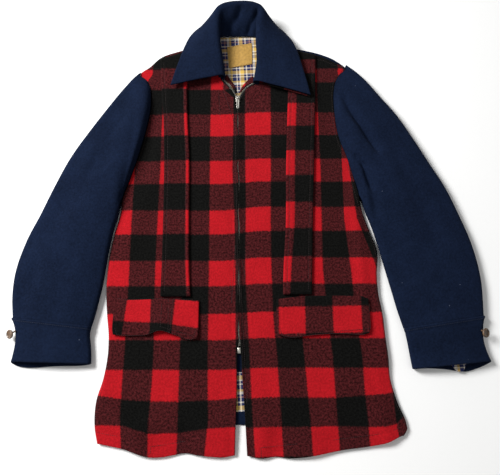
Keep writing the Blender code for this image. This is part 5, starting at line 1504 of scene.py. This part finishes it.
def fine_flap(side, cell):
    """Outer face of a pocket flap on a fine grid, its sides fading into its corners."""
    table = RIGHT_FLAP if side < 0 else LEFT_FLAP
    ends = column_of(table, "along_x")
    columns = int((ends[-1] - ends[0]) / cell)
    rows = int(FLAP_DEPTH / cell)
    rim = np.array([0.0, 0.3, 0.9, 2.2])
    inner_x = np.linspace(ends[0] + FLAP_RIM, ends[-1] - FLAP_RIM, columns)
    x = np.concatenate([ends[0] + rim, inner_x, ends[-1] - rim[::-1]])
    inside = np.linspace(FLAP_RIM / FLAP_DEPTH, (FLAP_DEPTH - FLAP_RIM) / FLAP_DEPTH, rows)
    v = np.concatenate([rim / FLAP_DEPTH, inside, 1 - rim[::-1] / FLAP_DEPTH])[:, None]
    top = smooth(ends, column_of(table, "top_y"), x)
    bottom = smooth(ends, column_of(table, "bottom_y"), x)
    lift = smooth(ends, column_of(table, "lift"), x)
    y = bottom * (1 - v) + top * v
    x = np.broadcast_to(x, y.shape)
    middle = (ends[0] + ends[-1]) / 2
    round_corner = FLAP_CORNER * np.clip(1 - (y - bottom) / 14, 0, 1) ** 2
    near_side = np.clip((np.abs(x - middle) - (ends[-1] - ends[0]) / 2 + 30) / 30, 0, 1)
    x = x - np.sign(x - middle) * round_corner * near_side
    z = cloth_top(side, x, y) + FLAP_SEAT + DOUBLE_MELTON + lift * (1 - v) ** 1.5
    grid = np.stack([x, y, z], axis=2)
    left, right, low, high = rim_distances(grid)
    edge = np.minimum.reduce([left, right, low])
    grid[..., 2] += groove(edge, FLAP_STITCH) + groove(high, FLAP_STITCH * 0.7)
    grid[..., 2] -= 1.1 * np.exp(-high / 2.5)
    return grid


def flap_cloth(side, x, y):
    """Place on the cloth of a pocket flap, whose check is its own."""
    if side < 0:
        across = column_count(RIGHT_FLAP_COLUMNS, x, y) + 1
        places, levels = zip(*RIGHT_FLAP_ROW)
        down = 4 + (y - np.interp(x, places, levels)) / RED_BAND
    else:
        across = column_count(LEFT_FLAP_COLUMNS, x, y)
        places, levels = zip(*LEFT_FLAP_ROW)
        above = y - np.interp(x, places, levels)
        down = 5 + np.where(above > 0, above / BLACK_BAND, above / RED_BAND)
    return np.stack([band_metres(across), band_metres(down)], axis=-1)


# Sleeves, cuffs and collar

def fine_sleeve(side, upper, cell):
    """Outer face of a top or an under sleeve on a fine grid, with its small creases."""
    coarse = sleeve_wall(side, upper)
    grid, _, across = refine(coarse, cell)
    left, right, low, high = rim_distances(grid)
    # both corners of the sleeve head close up to the armhole
    u = np.clip((across - SLEEVE_STEPS) / (coarse.shape[1] - 1 - 2 * SLEEVE_STEPS), 0, 1)
    back = (grid[0] - grid[6])[:, :2]
    back = unit(back)
    pull = (CORNER_GAP + HEAD_OVERLAP) * (2 * u - 1) ** 8 * np.exp(-(low / 9.0) ** 2)
    grid[..., :2] += back * pull[..., None]
    fade = ease(np.minimum(low, high) / 18) * ease(np.minimum(left, right) / 10)
    x, y = grid[..., 0], grid[..., 1]
    if upper:
        table = RIGHT_SLEEVE_CREASES if side < 0 else LEFT_SLEEVE_CREASES
        rise = (fold_height(table, x, y) + 1.5 * ripple(x, y)) * fade
    else:
        rise = fold_height(UNDER_SLEEVE_CREASES, x, y) * ease(np.minimum(left, right) / 25) * fade
    grid[..., 2] += rise
    return grid


def fine_cuff(side, cell):
    """Rings of the outer and the inner face of a cuff, and of how far they draw together at its ends."""
    rings = []
    for thickness in (0.0, DOUBLE_MELTON):
        coarse = cuff_rings(side, thickness)
        closed = np.concatenate([coarse[:, -3:], coarse, coarse[:, :3]], axis=1)
        columns = coarse.shape[1]
        places = np.linspace(3, 3 + columns, 3 * columns + 1)[:-1]
        around = resample(closed, places).transpose(1, 0, 2)
        around[..., 2] = np.maximum(around[..., 2], coarse[..., 2].min())
        reference = cuff_rings(side, 0.0).transpose(1, 0, 2)
        down = finer_places(reference, cell, DOUBLE_MELTON / 2)
        rings.append(resample(around, down).transpose(1, 0, 2))
    outer, inner = rings
    far = distance_along(outer)
    away = unit(outer - inner)
    top = np.clip(away[..., 2], 0, 1)
    # the seam allowance inside the cuff makes a ridge along its seam, which rests against the sleeve
    back = outer[0] - outer[6]
    back = unit(back)
    ridge = back * CUFF_RIDGE * np.exp(-far / 2.0)[..., None]
    outer, inner = outer + ridge, inner + ridge
    left = far[-1:] - far
    swell = 1.5 * np.exp(-((far - 2.4) / 2.2) ** 2) + groove(far, CUFF_STITCH) + groove(left, 7.0) * 0.7
    swell *= np.clip(away[..., 2] + 0.6, 0, 1)
    swell += (top * 1.1 * ripple(outer[..., 0] * 1.4, outer[..., 1] * 1.4)
              * ease(far / CUFF_FADE) * ease(left / CUFF_FADE))
    outer = outer + away * swell[..., None]
    radius = DOUBLE_MELTON / 2
    for distance, share in ((far, 0.5), (left, 1.0)):
        size = radius * share
        inside = np.clip(size - distance, 0, size)
        drop = (0.92 * (size - np.sqrt(size ** 2 - inside ** 2)))[..., None]
        outer, inner = outer - away * drop, inner + away * drop
    return outer, inner


def cuff_mesh(name, outer, inner):
    """A tube of cloth, open at both ends, from rings of outer and inner points."""
    rows, columns = outer.shape[:2]
    count = rows * columns
    faces = []
    for j in range(columns):
        k = (j + 1) % columns
        for i in range(rows - 1):
            a, b = i * columns, (i + 1) * columns
            faces.append((a + j, a + k, b + k, b + j))
            faces.append((count + a + j, count + b + j, count + b + k, count + a + k))
        last = (rows - 1) * columns
        faces.append((j, count + j, count + k, k))
        faces.append((last + j, last + k, count + last + k, count + last + j))
    return cloth_mesh(name, np.concatenate([outer.reshape(-1, 3), inner.reshape(-1, 3)]), faces)


def fine_collar(cell):
    """Visible face of the collar on a fine grid, with the creases inside its back."""
    grid, _, across = refine(collar_grid(), cell)
    normal = surface_normals(grid)
    stand = np.clip(1 - (across - STAND_STEPS) / ROLL_POINTS, 0, 1)[None, :]
    leaf = 1 - stand
    x, y = grid[..., 0], grid[..., 1]
    push = fold_height(COLLAR_CREASES[:4], x, y) * stand + fold_height(COLLAR_CREASES[4:], x, y) * leaf
    _, right, low, high = rim_distances(grid)
    edge = np.minimum.reduce([right, low, high])
    push = push + (1.3 * ripple(x, y) * leaf + 0.8 * np.exp(-((edge - 3.0) / 3.0) ** 2)) * ease(edge / 3)
    return grid - normal * push[..., None]


def piece_along(grid, distance, at, axis):
    """The line on a grid that runs at one distance from a rim, and the surface's normals there."""
    normal = face_up(grid, True)
    if axis == 0:
        grid, distance, normal = grid.transpose(1, 0, 2), distance.T, normal.transpose(1, 0, 2)
    points, normals = [], []
    for line, far, up in zip(grid, distance, normal):
        order = np.argsort(far)
        points.append([np.interp(at, far[order], line[order, k]) for k in range(3)])
        normals.append([np.interp(at, far[order], up[order, k]) for k in range(3)])
    return np.array(points), np.array(normals)


def trim(run, at):
    """A run of stitching without its first and last stretch."""
    line, normals = run
    far = distance_along(line)
    keep = (far >= at) & (far <= far[-1] - at)
    return line[keep], normals[keep]


def stitch_row(name, runs, sizes, material):
    """A row of separate stitches along lines on the cloth, each with the normals under it."""
    length, gap, radius = sizes.stitch / MM, sizes.stitch_gap / MM, sizes.thread / MM / 2
    sides, stations = 6, (-1.0, -0.82, -0.3, 0.3, 0.82, 1.0)
    widths = (0.12, 0.75, 1.0, 1.0, 0.75, 0.12)
    points, faces = [], []
    for line, normals in runs:
        far = distance_along(line)
        count = int((far[-1] - 2 * gap) / (length + gap))
        for k in range(count):
            middle = gap + (length + gap) * (k + 0.5)
            centre = np.array([np.interp(middle, far, line[:, i]) for i in range(3)])
            ahead = np.array([np.interp(middle + 1, far, line[:, i]) for i in range(3)])
            up = np.array([np.interp(middle, far, normals[:, i]) for i in range(3)])
            run = ahead - centre
            run /= np.linalg.norm(run)
            up -= run * np.dot(up, run)
            up /= np.linalg.norm(up)
            across = np.cross(run, up)
            base = len(points)
            for share, width in zip(stations, widths):
                arch = radius * (0.55 - 0.9 * share ** 4)
                station = centre + run * share * length / 2
                for a in np.arange(sides) * 2 * math.pi / sides:
                    points.append(station + up * (arch + radius * width * math.sin(a))
                                  + across * radius * width * math.cos(a))
            for i in range(len(stations) - 1):
                for j in range(sides):
                    m = (j + 1) % sides
                    faces.append((base + i * sides + j, base + i * sides + m,
                                  base + (i + 1) * sides + m, base + (i + 1) * sides + j))
            faces.append(tuple(base + j for j in range(sides - 1, -1, -1)))
            faces.append(tuple(base + (len(stations) - 1) * sides + j for j in range(sides)))
    item = cloth_mesh(name, points, faces)
    return dress(item, None, material=material)


# Hard pieces, modelled as by hand

def deselect():
    """Leaves object mode with nothing selected."""
    for item in bpy.context.selected_objects:
        item.select_set(False)


def choose(item):
    """Selects one piece and makes it the active one."""
    deselect()
    item.select_set(True)
    bpy.context.view_layer.objects.active = item


def divide(item, cuts):
    """Subdivides all faces of a piece."""
    choose(item)
    bpy.ops.object.mode_set(mode="EDIT")
    bpy.ops.mesh.select_all(action="SELECT")
    bpy.ops.mesh.subdivide(number_cuts=cuts)
    bpy.ops.object.mode_set(mode="OBJECT")


def start_box(name, size, place, bevel=0.0, segments=2):
    """A bevelled block in millimetres, with its place in its mesh."""
    deselect()
    bpy.ops.mesh.primitive_cube_add(size=1.0, location=(0, 0, 0))
    item = bpy.context.active_object
    item.name = name
    scale = Matrix.Diagonal((*[s * MM for s in size], 1.0))
    item.data.transform(Matrix.Translation(Vector(place) * MM) @ scale)
    if bevel:
        soften(item, bevel, segments)
    return item


def soften(item, width, segments=2):
    """Bevels the sharp edges of a piece and applies the bevel."""
    choose(item)
    step = item.modifiers.new("edges", "BEVEL")
    step.width = width * MM
    step.segments = segments
    step.limit_method = "ANGLE"
    step.angle_limit = math.radians(35)
    bpy.ops.object.modifier_apply(modifier=step.name)
    bpy.ops.object.shade_smooth_by_angle(angle=math.radians(40))


def narrow(item, chooses, factor, centre):
    """Scales the points of a piece that a test chooses, about a centre in millimetres."""
    middle = Vector(centre) * MM
    for point in item.data.vertices:
        if chooses(point.co / MM):
            point.co = middle + Vector([(point.co - middle)[k] * factor[k] for k in range(3)])


def join(name, items):
    """Joins pieces into the first one and names it."""
    deselect()
    for item in items:
        item.select_set(True)
    bpy.context.view_layer.objects.active = items[0]
    bpy.ops.object.join()
    items[0].name = name
    items[0].data.name = name
    return items[0]


def start_rod(name, start, end, radius, sides=16, bevel=0.0):
    """A round bar between two points in millimetres, with its place in its mesh."""
    start, end = Vector(start), Vector(end)
    deselect()
    bpy.ops.mesh.primitive_cylinder_add(vertices=sides, radius=radius * MM, depth=(end - start).length * MM)
    item = bpy.context.active_object
    item.name = name
    turn = (end - start).to_track_quat("Z", "Y").to_matrix().to_4x4()
    item.data.transform(Matrix.Translation((start + end) / 2 * MM) @ turn)
    if bevel:
        soften(item, bevel)
    return item


def start_ring(name, centre, radius, thick, axis):
    """A round wire ring in millimetres."""
    deselect()
    bpy.ops.mesh.primitive_torus_add(major_radius=radius * MM, minor_radius=thick * MM, major_segments=24,
                                     minor_segments=10)
    item = bpy.context.active_object
    item.name = name
    turn = Vector(axis).to_track_quat("Z", "Y").to_matrix().to_4x4()
    item.data.transform(Matrix.Translation(Vector(centre) * MM) @ turn)
    bpy.ops.object.shade_smooth()
    return item


def repeat(name, source, places):
    """One mesh of many copies of a piece, each put at its own place and direction."""
    base = np.array([v.co for v in source.data.vertices], float)
    shapes = [tuple(p.vertices) for p in source.data.polygons]
    points, faces = [], []
    for matrix in places:
        turned = base @ np.array(matrix.to_3x3()).T + np.array(matrix.translation)
        start = len(points)
        points.extend(turned.tolist())
        faces.extend(tuple(start + k for k in shape) for shape in shapes)
    mesh = bpy.data.meshes.new(name)
    mesh.from_pydata(points, [], faces)
    item = bpy.data.objects.new(name, mesh)
    bpy.context.scene.collection.objects.link(item)
    mesh.shade_smooth()
    mesh.set_sharp_from_angle(angle=math.radians(40))
    bpy.data.objects.remove(source)
    return item


def chain_places(side, pitch):
    """A place and direction for each tooth of one half of the zip."""
    path = chain_path(side, ZIP_TEETH_Y)
    far = distance_along(path)
    places = []
    offset = pitch * (0.25 if side < 0 else 0.75)
    for k in range(int((far[-1] - offset) / pitch)):
        at = offset + k * pitch
        x, y = (np.interp(at, far, path[:, i]) for i in range(2))
        x2, y2 = (np.interp(min(at + 1, far[-1]), far, path[:, i]) for i in range(2))
        x1, y1 = (np.interp(max(at - 1, 0), far, path[:, i]) for i in range(2))
        turn = math.atan2(y2 - y1, x2 - x1) - math.pi / 2
        centre = Vector((x, y, ZIP_CHAIN_FLOOR + ZIP_CHAIN_HEIGHT / 2)) * MM
        places.append(Matrix.Translation(centre) @ Matrix.Rotation(turn, 4, "Z"))
    return places


def sizes():
    """The scene's sizes."""
    return bpy.context.scene.jacket_sizes


def cell_mm():
    """Distance between the points of the cloth's mesh, in millimetres."""
    return sizes().cell / MM


SIDES = ((-1, "right"), (1, "left"))


class JACKET_OT_body(bpy.types.Operator):
    """Makes the back and both fronts as walls of wool cloth"""

    bl_idname = "jacket.body"
    bl_label = "Back and Fronts"

    def execute(self, context):
        cell = cell_mm()
        grid, _, _ = refine(back_grid(), cell * 1.25)
        left, right, low, high = rim_distances(grid)
        fade = ease((np.minimum(left, right) - 12) / 30) * ease(np.minimum(low, high) / 6)
        grid[..., 2] += np.maximum(fold_height(BACK_CREASES, grid[..., 0], grid[..., 1]), 0) * fade
        grid[..., 2] += 0.5 * np.exp(-((low - HEM_STITCH) / 1.8) ** 2) * fade
        back = cloth_wall("back_cloth", grid, MELTON, up=False, rims=(0.5, 0.5, 1, 1))
        dress(back, "navy_melton", "back")
        for side, name in SIDES:
            grid = fine_front(side, cell)
            cloth = front_cloth(side, grid[..., 0], grid[..., 1])
            front = cloth_wall(name + "_front_cloth", grid, MELTON, cloth=cloth, rims=(1, 0.5, 1, 0.5))
            dress(front, "check_mackinaw", name + "_front")
            left, _, low, _ = rim_distances(grid)
            runs = [piece_along(grid, low, HEM_STITCH, 1)]
            runs += [piece_along(grid, left, at, 0) for at in PLACKET_STITCHES]
            runs = [trim(run, PLACKET_STITCHES[0]) for run in runs]
            stitch_row(name + "_front_stitching", runs, sizes(), thread("oxblood"))
        return {"FINISHED"}


class JACKET_OT_straps(bpy.types.Operator):
    """Makes the strip that runs down each front, with both edges turned under and stitched"""

    bl_idname = "jacket.straps"
    bl_label = "Straps"

    def execute(self, context):
        for side, name in SIDES:
            rings, cloth = fine_strap(side, int(500 / cell_mm()))
            strap = swept_mesh(name + "_strap_cloth", rings, cloth)
            dress(strap, "check_mackinaw", name + "_strap")
            runs = []
            for one, two in (strap_edges(side, 130), strap_edges(side, 130)[::-1]):
                inward = unit(two - one)
                place = (one + inward * STRAP_STITCH)[2:-2]
                z = cloth_top(side, place[:, 0], place[:, 1]) + SEAM + 2 * STRAP_CLOTH + STRAP_AIR
                z = z - STRAP_SINK * 0.3 - GROOVE_DEPTH
                line = raised(place, z)
                runs.append((line, np.tile((0.0, 0.0, 1.0), (len(line), 1))))
            stitch_row(name + "_strap_stitching", runs, sizes(), thread("oxblood"))
        return {"FINISHED"}


class JACKET_OT_flaps(bpy.types.Operator):
    """Makes the pocket flaps of double cloth, with a row of stitching round their edge"""

    bl_idname = "jacket.flaps"
    bl_label = "Pocket Flaps"

    def execute(self, context):
        for side, name in SIDES:
            grid = fine_flap(side, cell_mm() * 0.75)
            cloth = flap_cloth(side, grid[..., 0], grid[..., 1])
            flap = cloth_wall(name + "_flap_cloth", grid, DOUBLE_MELTON, cloth=cloth)
            dress(flap, "check_mackinaw", name + "_flap")
            left, right, low, _ = rim_distances(grid)
            runs = [piece_along(grid, low, FLAP_STITCH, 1), piece_along(grid, left, FLAP_STITCH, 0),
                    piece_along(grid, right, FLAP_STITCH, 0)]
            runs = [trim(run, FLAP_STITCH) for run in runs]
            stitch_row(name + "_flap_stitching", runs, sizes(), thread("oxblood"))
        return {"FINISHED"}


class JACKET_OT_sleeves(bpy.types.Operator):
    """Makes the top sleeves, under sleeves and turned-up cuffs of navy cloth"""

    bl_idname = "jacket.sleeves"
    bl_label = "Sleeves and Cuffs"

    def execute(self, context):
        cell = cell_mm()
        for side, name in SIDES:
            for upper, part in ((True, "top_sleeve"), (False, "under_sleeve")):
                grid = fine_sleeve(side, upper, cell * (1.0 if upper else 1.25))
                sleeve = cloth_wall(name + "_" + part + "_cloth", grid, MELTON, up=upper, rims=(0.5,) * 4)
                dress(sleeve, "navy_melton", name + "_" + part)
            outer, inner = fine_cuff(side, cell)
            cuff = cuff_mesh(name + "_cuff_cloth", outer, inner)
            dress(cuff, "navy_melton", name + "_cuff")
            away = unit(outer - inner)
            far = distance_along(outer)
            line = np.array([[np.interp(CUFF_STITCH, far[:, j], outer[:, j, k]) for k in range(3)]
                             for j in range(outer.shape[1])])
            normals = away[far.shape[0] // 3]
            stitch_row(name + "_cuff_stitching", [(line, normals)], sizes(), thread("navy"))
        return {"FINISHED"}


class JACKET_OT_collar(bpy.types.Operator):
    """Makes the collar, and the check cloth under its left leaf"""

    bl_idname = "jacket.collar"
    bl_label = "Collar"

    def execute(self, context):
        grid = fine_collar(cell_mm())
        collar = cloth_wall("collar_cloth", grid, MELTON)
        dress(collar, "navy_melton", "collar")
        grid, _, _ = refine(under_collar_grid(), cell_mm(), UNDER_COLLAR_CLOTH / 2)
        cloth = front_cloth(1, grid[..., 0] + 22, grid[..., 1] - 30)
        under = cloth_wall("under_collar_cloth", grid, UNDER_COLLAR_CLOTH, cloth=cloth)
        dress(under, "check_mackinaw", "under_collar")
        return {"FINISHED"}


class JACKET_OT_neck(bpy.types.Operator):
    """Makes the lining where it shows, the facings and the bare neck label"""

    bl_idname = "jacket.neck"
    bl_label = "Lining, Facings and Label"

    def execute(self, context):
        cell = cell_mm()
        for name, coarse in (("neck_lining", neck_lining_grid()), ("hem_lining", hem_lining_grid()),
                             ("cuff_lining", cuff_lining_grid())):
            grid, _, _ = refine(coarse, cell * 0.75, FLANNEL / 2)
            left, right, low, high = rim_distances(grid)
            edge = ease(np.minimum.reduce([left, right, low, high]) / 6)
            grid[..., 2] += fold_height(LINING_CREASES, grid[..., 0], grid[..., 1]) * edge
            x, y = grid[..., 0] + LINING_SHIFTS[name].x, grid[..., 1] + LINING_SHIFTS[name].y
            cloth = np.stack([x + LINING_SLANT * y, y - LINING_SLANT * x], axis=-1) * MM
            lining = cloth_wall(name + "_cloth", grid, FLANNEL, cloth=cloth)
            dress(lining, "plaid_flannel", name)
        for side, name in SIDES:
            grid, _, _ = refine(facing_grid(side), cell * 0.6, FACING_CLOTH / 2)
            cloth = front_cloth(side, grid[..., 0], grid[..., 1]) + (RED_BAND * MM * (side > 0), 0)
            facing = cloth_wall(name + "_facing_cloth", grid, FACING_CLOTH, cloth=cloth)
            dress(facing, "check_mackinaw", name + "_facing")
        grid, _, _ = refine(label_grid(), cell * 0.6, LABEL_THICK / 2)
        x, y = grid[..., 0], grid[..., 1]
        left, right, low, high = rim_distances(grid)
        edge = np.minimum.reduce([left, right, low, high])
        seam = 0.15 * np.exp(-((edge - LABEL_STITCH) / 0.8) ** 2)
        grid[..., 2] += 0.25 * np.sin(x / 7.0 + y / 16.0) * ease(edge / 8) - seam
        label = cloth_wall("neck_label_cloth", grid, LABEL_THICK, cloth=np.stack([x, y], axis=-1) * MM)
        dress(label, "label_cloth", "neck_label")
        runs = [piece_along(grid, distance, LABEL_STITCH, axis)
                for distance, axis in ((left, 0), (right, 0), (low, 1), (high, 1))]
        stitch_row("neck_label_stitching", [trim(run, LABEL_STITCH) for run in runs], sizes(), thread("tan"))
        return {"FINISHED"}


class JACKET_OT_zip(bpy.types.Operator):
    """Makes the zip's tapes, teeth, slider, pull tab and bottom stop"""

    bl_idname = "jacket.zip"
    bl_label = "Zip"

    def execute(self, context):
        for side, name in SIDES:
            path = chain_path(side, ZIP_STOP_Y - TAPE_PAST_STOP)
            rings = ribbon_rings(path, TAPE_INNER, ZIP_TAPE_WIDTH, side, ZIP_TAPE_FLOOR, TAPE)
            tape = swept_mesh(name + "_zip_tape_cloth", rings)
            dress(tape, "zip_tape", name + "_zip_tape")
            tooth = start_box("tooth", (TOOTH_LENGTH, TOOTH_WIDTH, ZIP_CHAIN_HEIGHT), (0, 0, 0), 0.3, 1)
            teeth = repeat(name + "_zip_teeth", tooth, chain_places(side, sizes().tooth_pitch / MM))
            dress(teeth, "zip_metal", name + "_zip_chain")
        self.make_slider()
        self.make_tab()
        stop = ZIP_STOP
        half = ZIP_STOP_HEIGHT / 2
        middle = ((stop.x + stop.to_x) / 2, (stop.y + stop.to_y) / 2, ZIP_CHAIN_FLOOR + half)
        size = (stop.to_x - stop.x, stop.to_y - stop.y, ZIP_STOP_HEIGHT)
        box = start_box("zip_stop_metal", size, middle, 0.5)
        rib = start_box("stop_rib", (1.2, size[1] * 0.8, 0.8), (middle[0], middle[1], middle[2] + half), 0.3)
        dress(join("zip_stop_metal", [box, rib]), "zip_metal", "zip_stop")
        return {"FINISHED"}

    def make_slider(self):
        """The slider: a shaped plate with a flange under each side, and ears that hold the pin."""
        x, y, base = SLIDER_X, SLIDER_Y, SLIDER_FLOOR
        half = SLIDER_LENGTH / 2
        plate = start_box("slider_plate", (SLIDER_WIDTH, SLIDER_LENGTH, SLIDER_PLATE),
                          (x, y, base + SLIDER_PLATE / 2))
        divide(plate, 3)
        narrow(plate, lambda p: p.y < y - half * 0.9, (0.72, 1, 1), (x, y, base))
        narrow(plate, lambda p: abs(p.y - y + half * 0.5) < 0.5, (0.88, 1, 1), (x, y, base))
        narrow(plate, lambda p: p.y > y + half * 0.9 and abs(p.x - x) < 1, (1, 0.9, 1), (x, y, base))
        soften(plate, 0.35)
        parts = [plate]
        for sign in (-1, 1):
            side_x = x + sign * (SLIDER_WIDTH / 2 - SLIDER_FLANGE / 2)
            flange = (SLIDER_FLANGE, SLIDER_FLANGE_LENGTH, SLIDER_FLANGE_DEPTH)
            place = (side_x, y - half + SLIDER_FLANGE_LENGTH / 2, base - SLIDER_FLANGE_DROP)
            parts.append(start_box("slider_flange", flange, place, 0.3))
            ear_x = x + sign * (EAR_REACH - EAR_WIDTH / 2)
            ear = start_box("slider_ear", (EAR_WIDTH, EAR_LENGTH, PIN_HEIGHT + EAR_OVER_PIN - base),
                            (ear_x, y, (PIN_HEIGHT + EAR_OVER_PIN + base) / 2))
            narrow(ear, lambda p: p.z > PIN_HEIGHT, (1, 0.6, 1), (x, y, PIN_HEIGHT))
            soften(ear, 0.3)
            parts.append(ear)
        parts.append(start_rod("slider_pin", (x - EAR_REACH + 0.2, y, PIN_HEIGHT),
                               (x + EAR_REACH - 0.2, y, PIN_HEIGHT), PIN_RADIUS, 16, 0.2))
        dress(join("zip_slider_metal", parts), "zip_metal", "zip_slider")

    def make_tab(self):
        """The pull tab: three wire rings round the pin as its eye, and a stamped plate, hollowed a little in
        each face.
        """
        x, y = SLIDER_X, SLIDER_Y
        drop = (PIN_HEIGHT - TAB_TIP_HEIGHT) / TAB_LENGTH
        eyes = [start_ring("tab_eye", (x + shift, y, PIN_HEIGHT), PIN_RADIUS + PIN_PLAY + EYE_WIRE, EYE_WIRE,
                           (1, 0, 0)) for shift in (0.0, 2 * EYE_WIRE, -2 * EYE_WIRE)]
        tab = start_box("tab_plate", (TAB_WIDTH, TAB_LENGTH - TAB_START, TAB_THICK),
                        (x, y - (TAB_LENGTH + TAB_START) / 2, 0))
        divide(tab, 7)
        reaches, widths = column_of(TAB_ROWS, "reach"), column_of(TAB_ROWS, "width")
        for point in tab.data.vertices:
            place = point.co / MM
            width = float(np.interp(y - place.y, reaches, widths))
            side = (place.x - x) / (TAB_WIDTH / 2)
            hollow = 0.25 * max(0.0, 1 - side * side * 1.6) if 4 < y - place.y < TAB_LENGTH - 4 else 0.0
            height = PIN_HEIGHT - drop * (y - place.y) + place.z - math.copysign(hollow, place.z)
            point.co = Vector((x + side * width / 2, place.y, height)) * MM
        soften(tab, 0.25)
        dress(join("zip_pull_tab_metal", [*eyes, tab]), "zip_metal", "zip_pull_tab", body="pull_tab")


class JACKET_OT_buttons(bpy.types.Operator):
    """Makes the horn button at each cuff with the link that holds it"""

    bl_idname = "jacket.buttons"
    bl_label = "Cuff Buttons"

    def execute(self, context):
        for side, name in SIDES:
            row = RIGHT_BUTTON if side < 0 else LEFT_BUTTON
            end = RIGHT_LINK_END if side < 0 else LEFT_LINK_END
            deselect()
            bpy.ops.mesh.primitive_circle_add(vertices=40, radius=BUTTON_PROFILE[0][0] * MM, fill_type="NGON")
            button = bpy.context.active_object
            bpy.ops.object.mode_set(mode="EDIT")
            bpy.ops.mesh.select_all(action="SELECT")
            previous = BUTTON_PROFILE[0]
            for radius, height in BUTTON_PROFILE[1:] + [(0.9, 2.7)]:
                rise = (0, 0, (height - previous[1]) * MM)
                bpy.ops.mesh.extrude_region_move(TRANSFORM_OT_translate={"value": rise})
                share = radius / previous[0]
                bpy.ops.transform.resize(value=(share, share, 1))
                previous = (radius, height)
            bpy.ops.mesh.select_all(action="SELECT")
            bpy.ops.mesh.normals_make_consistent(inside=False)
            bpy.ops.object.mode_set(mode="OBJECT")
            face = Vector((row.face_x, row.face_y, row.face_z))
            turn = face.to_track_quat("Z", "Y").to_matrix().to_4x4()
            button.data.transform(Matrix.Translation(Vector((row.x, row.y, row.z)) * MM) @ turn)
            soften(button, 0.35)
            start = Vector((row.x, row.y, row.z)) + face.normalized() * LINK_SINK
            link = start_rod("link", start, Vector(end), LINK_RADIUS, 14, 0.3)
            dress(join(name + "_button_horn", [button, link]), "horn", name + "_button")
        return {"FINISHED"}


def thread(colour):
    """Sewing thread of one colour, made once."""
    codes = {"oxblood": "1E0B0D", "navy": "151D33", "tan": "9C7C48"}
    name = "mercerised_cotton_thread_" + colour
    if name not in MADE:
        MADE[name] = thread_material(name, codes[colour])
    return MADE[name]


class JACKET_OT_stage(bpy.types.Operator):
    """Makes the white board, the soft light and the camera at the photo's angle"""

    bl_idname = "jacket.stage"
    bl_label = "Stage"

    def execute(self, context):
        deselect()
        bpy.ops.mesh.primitive_plane_add(size=12.0, location=(0, 0, 0))
        board = bpy.context.active_object
        board.name = "floor"
        board.data.materials.append(floor_material(context.scene.jacket_colours))
        world = bpy.data.worlds.new("soft_room")
        world.use_nodes = True
        world.node_tree.nodes["Background"].inputs["Color"].default_value = (1.0, 1.0, 1.0, 1.0)
        world.node_tree.nodes["Background"].inputs["Strength"].default_value = SKY
        context.scene.world = world
        for name, place, size, energy in LIGHTS:
            lamp = bpy.data.lights.new(name, "AREA")
            lamp.shape = "DISK"
            lamp.size = size
            lamp.energy = energy
            item = bpy.data.objects.new(name, lamp)
            item.location = place
            item.rotation_euler = (Vector((0, 0, 0)) - Vector(place)).to_track_quat("-Z", "Y").to_euler()
            context.scene.collection.objects.link(item)
        camera = bpy.data.cameras.new("camera")
        camera.lens = CAMERA_LENS
        camera.sensor_width = 36.0
        camera.dof.use_dof = False
        item = bpy.data.objects.new("camera", camera)
        item.location = CAMERA_PLACE
        item.rotation_euler = (math.radians(CAMERA_TILT), 0, 0)
        context.scene.collection.objects.link(item)
        context.scene.camera = item
        # plain sRGB tones, as a camera gives them on a white board
        context.scene.view_settings.view_transform = "Standard"
        return {"FINISHED"}


class JACKET_PT_panel(bpy.types.Panel):
    """Lists the jacket's sizes, colours and steps"""

    bl_label = "Norfolk Jacket"
    bl_idname = "JACKET_PT_panel"
    bl_space_type = "VIEW_3D"
    bl_region_type = "UI"
    bl_category = "Jacket"

    def draw(self, context):
        layout = self.layout
        for group in (context.scene.jacket_sizes, context.scene.jacket_colours):
            for key in group.bl_rna.properties.keys():
                if key not in ("rna_type", "name"):
                    layout.prop(group, key)
        for step in STEPS:
            layout.operator(step.bl_idname)


STEPS = (JACKET_OT_body, JACKET_OT_straps, JACKET_OT_flaps, JACKET_OT_sleeves, JACKET_OT_collar,
         JACKET_OT_neck, JACKET_OT_zip, JACKET_OT_buttons, JACKET_OT_stage)
CLASSES = (JacketSizes, JacketColours, *STEPS, JACKET_PT_panel)


def register():
    """Registers the classes and their properties."""
    for item in CLASSES:
        bpy.utils.register_class(item)
    bpy.types.Scene.jacket_sizes = bpy.props.PointerProperty(type=JacketSizes)
    bpy.types.Scene.jacket_colours = bpy.props.PointerProperty(type=JacketColours)


def unregister():
    """Takes the classes and their properties out again."""
    del bpy.types.Scene.jacket_colours
    del bpy.types.Scene.jacket_sizes
    for item in reversed(CLASSES):
        bpy.utils.unregister_class(item)


def main():
    """Makes every piece in order."""
    register()
    for step in STEPS:
        group, name = step.bl_idname.split(".")
        getattr(getattr(bpy.ops, group), name)()


if __name__ == "__main__":
    main()
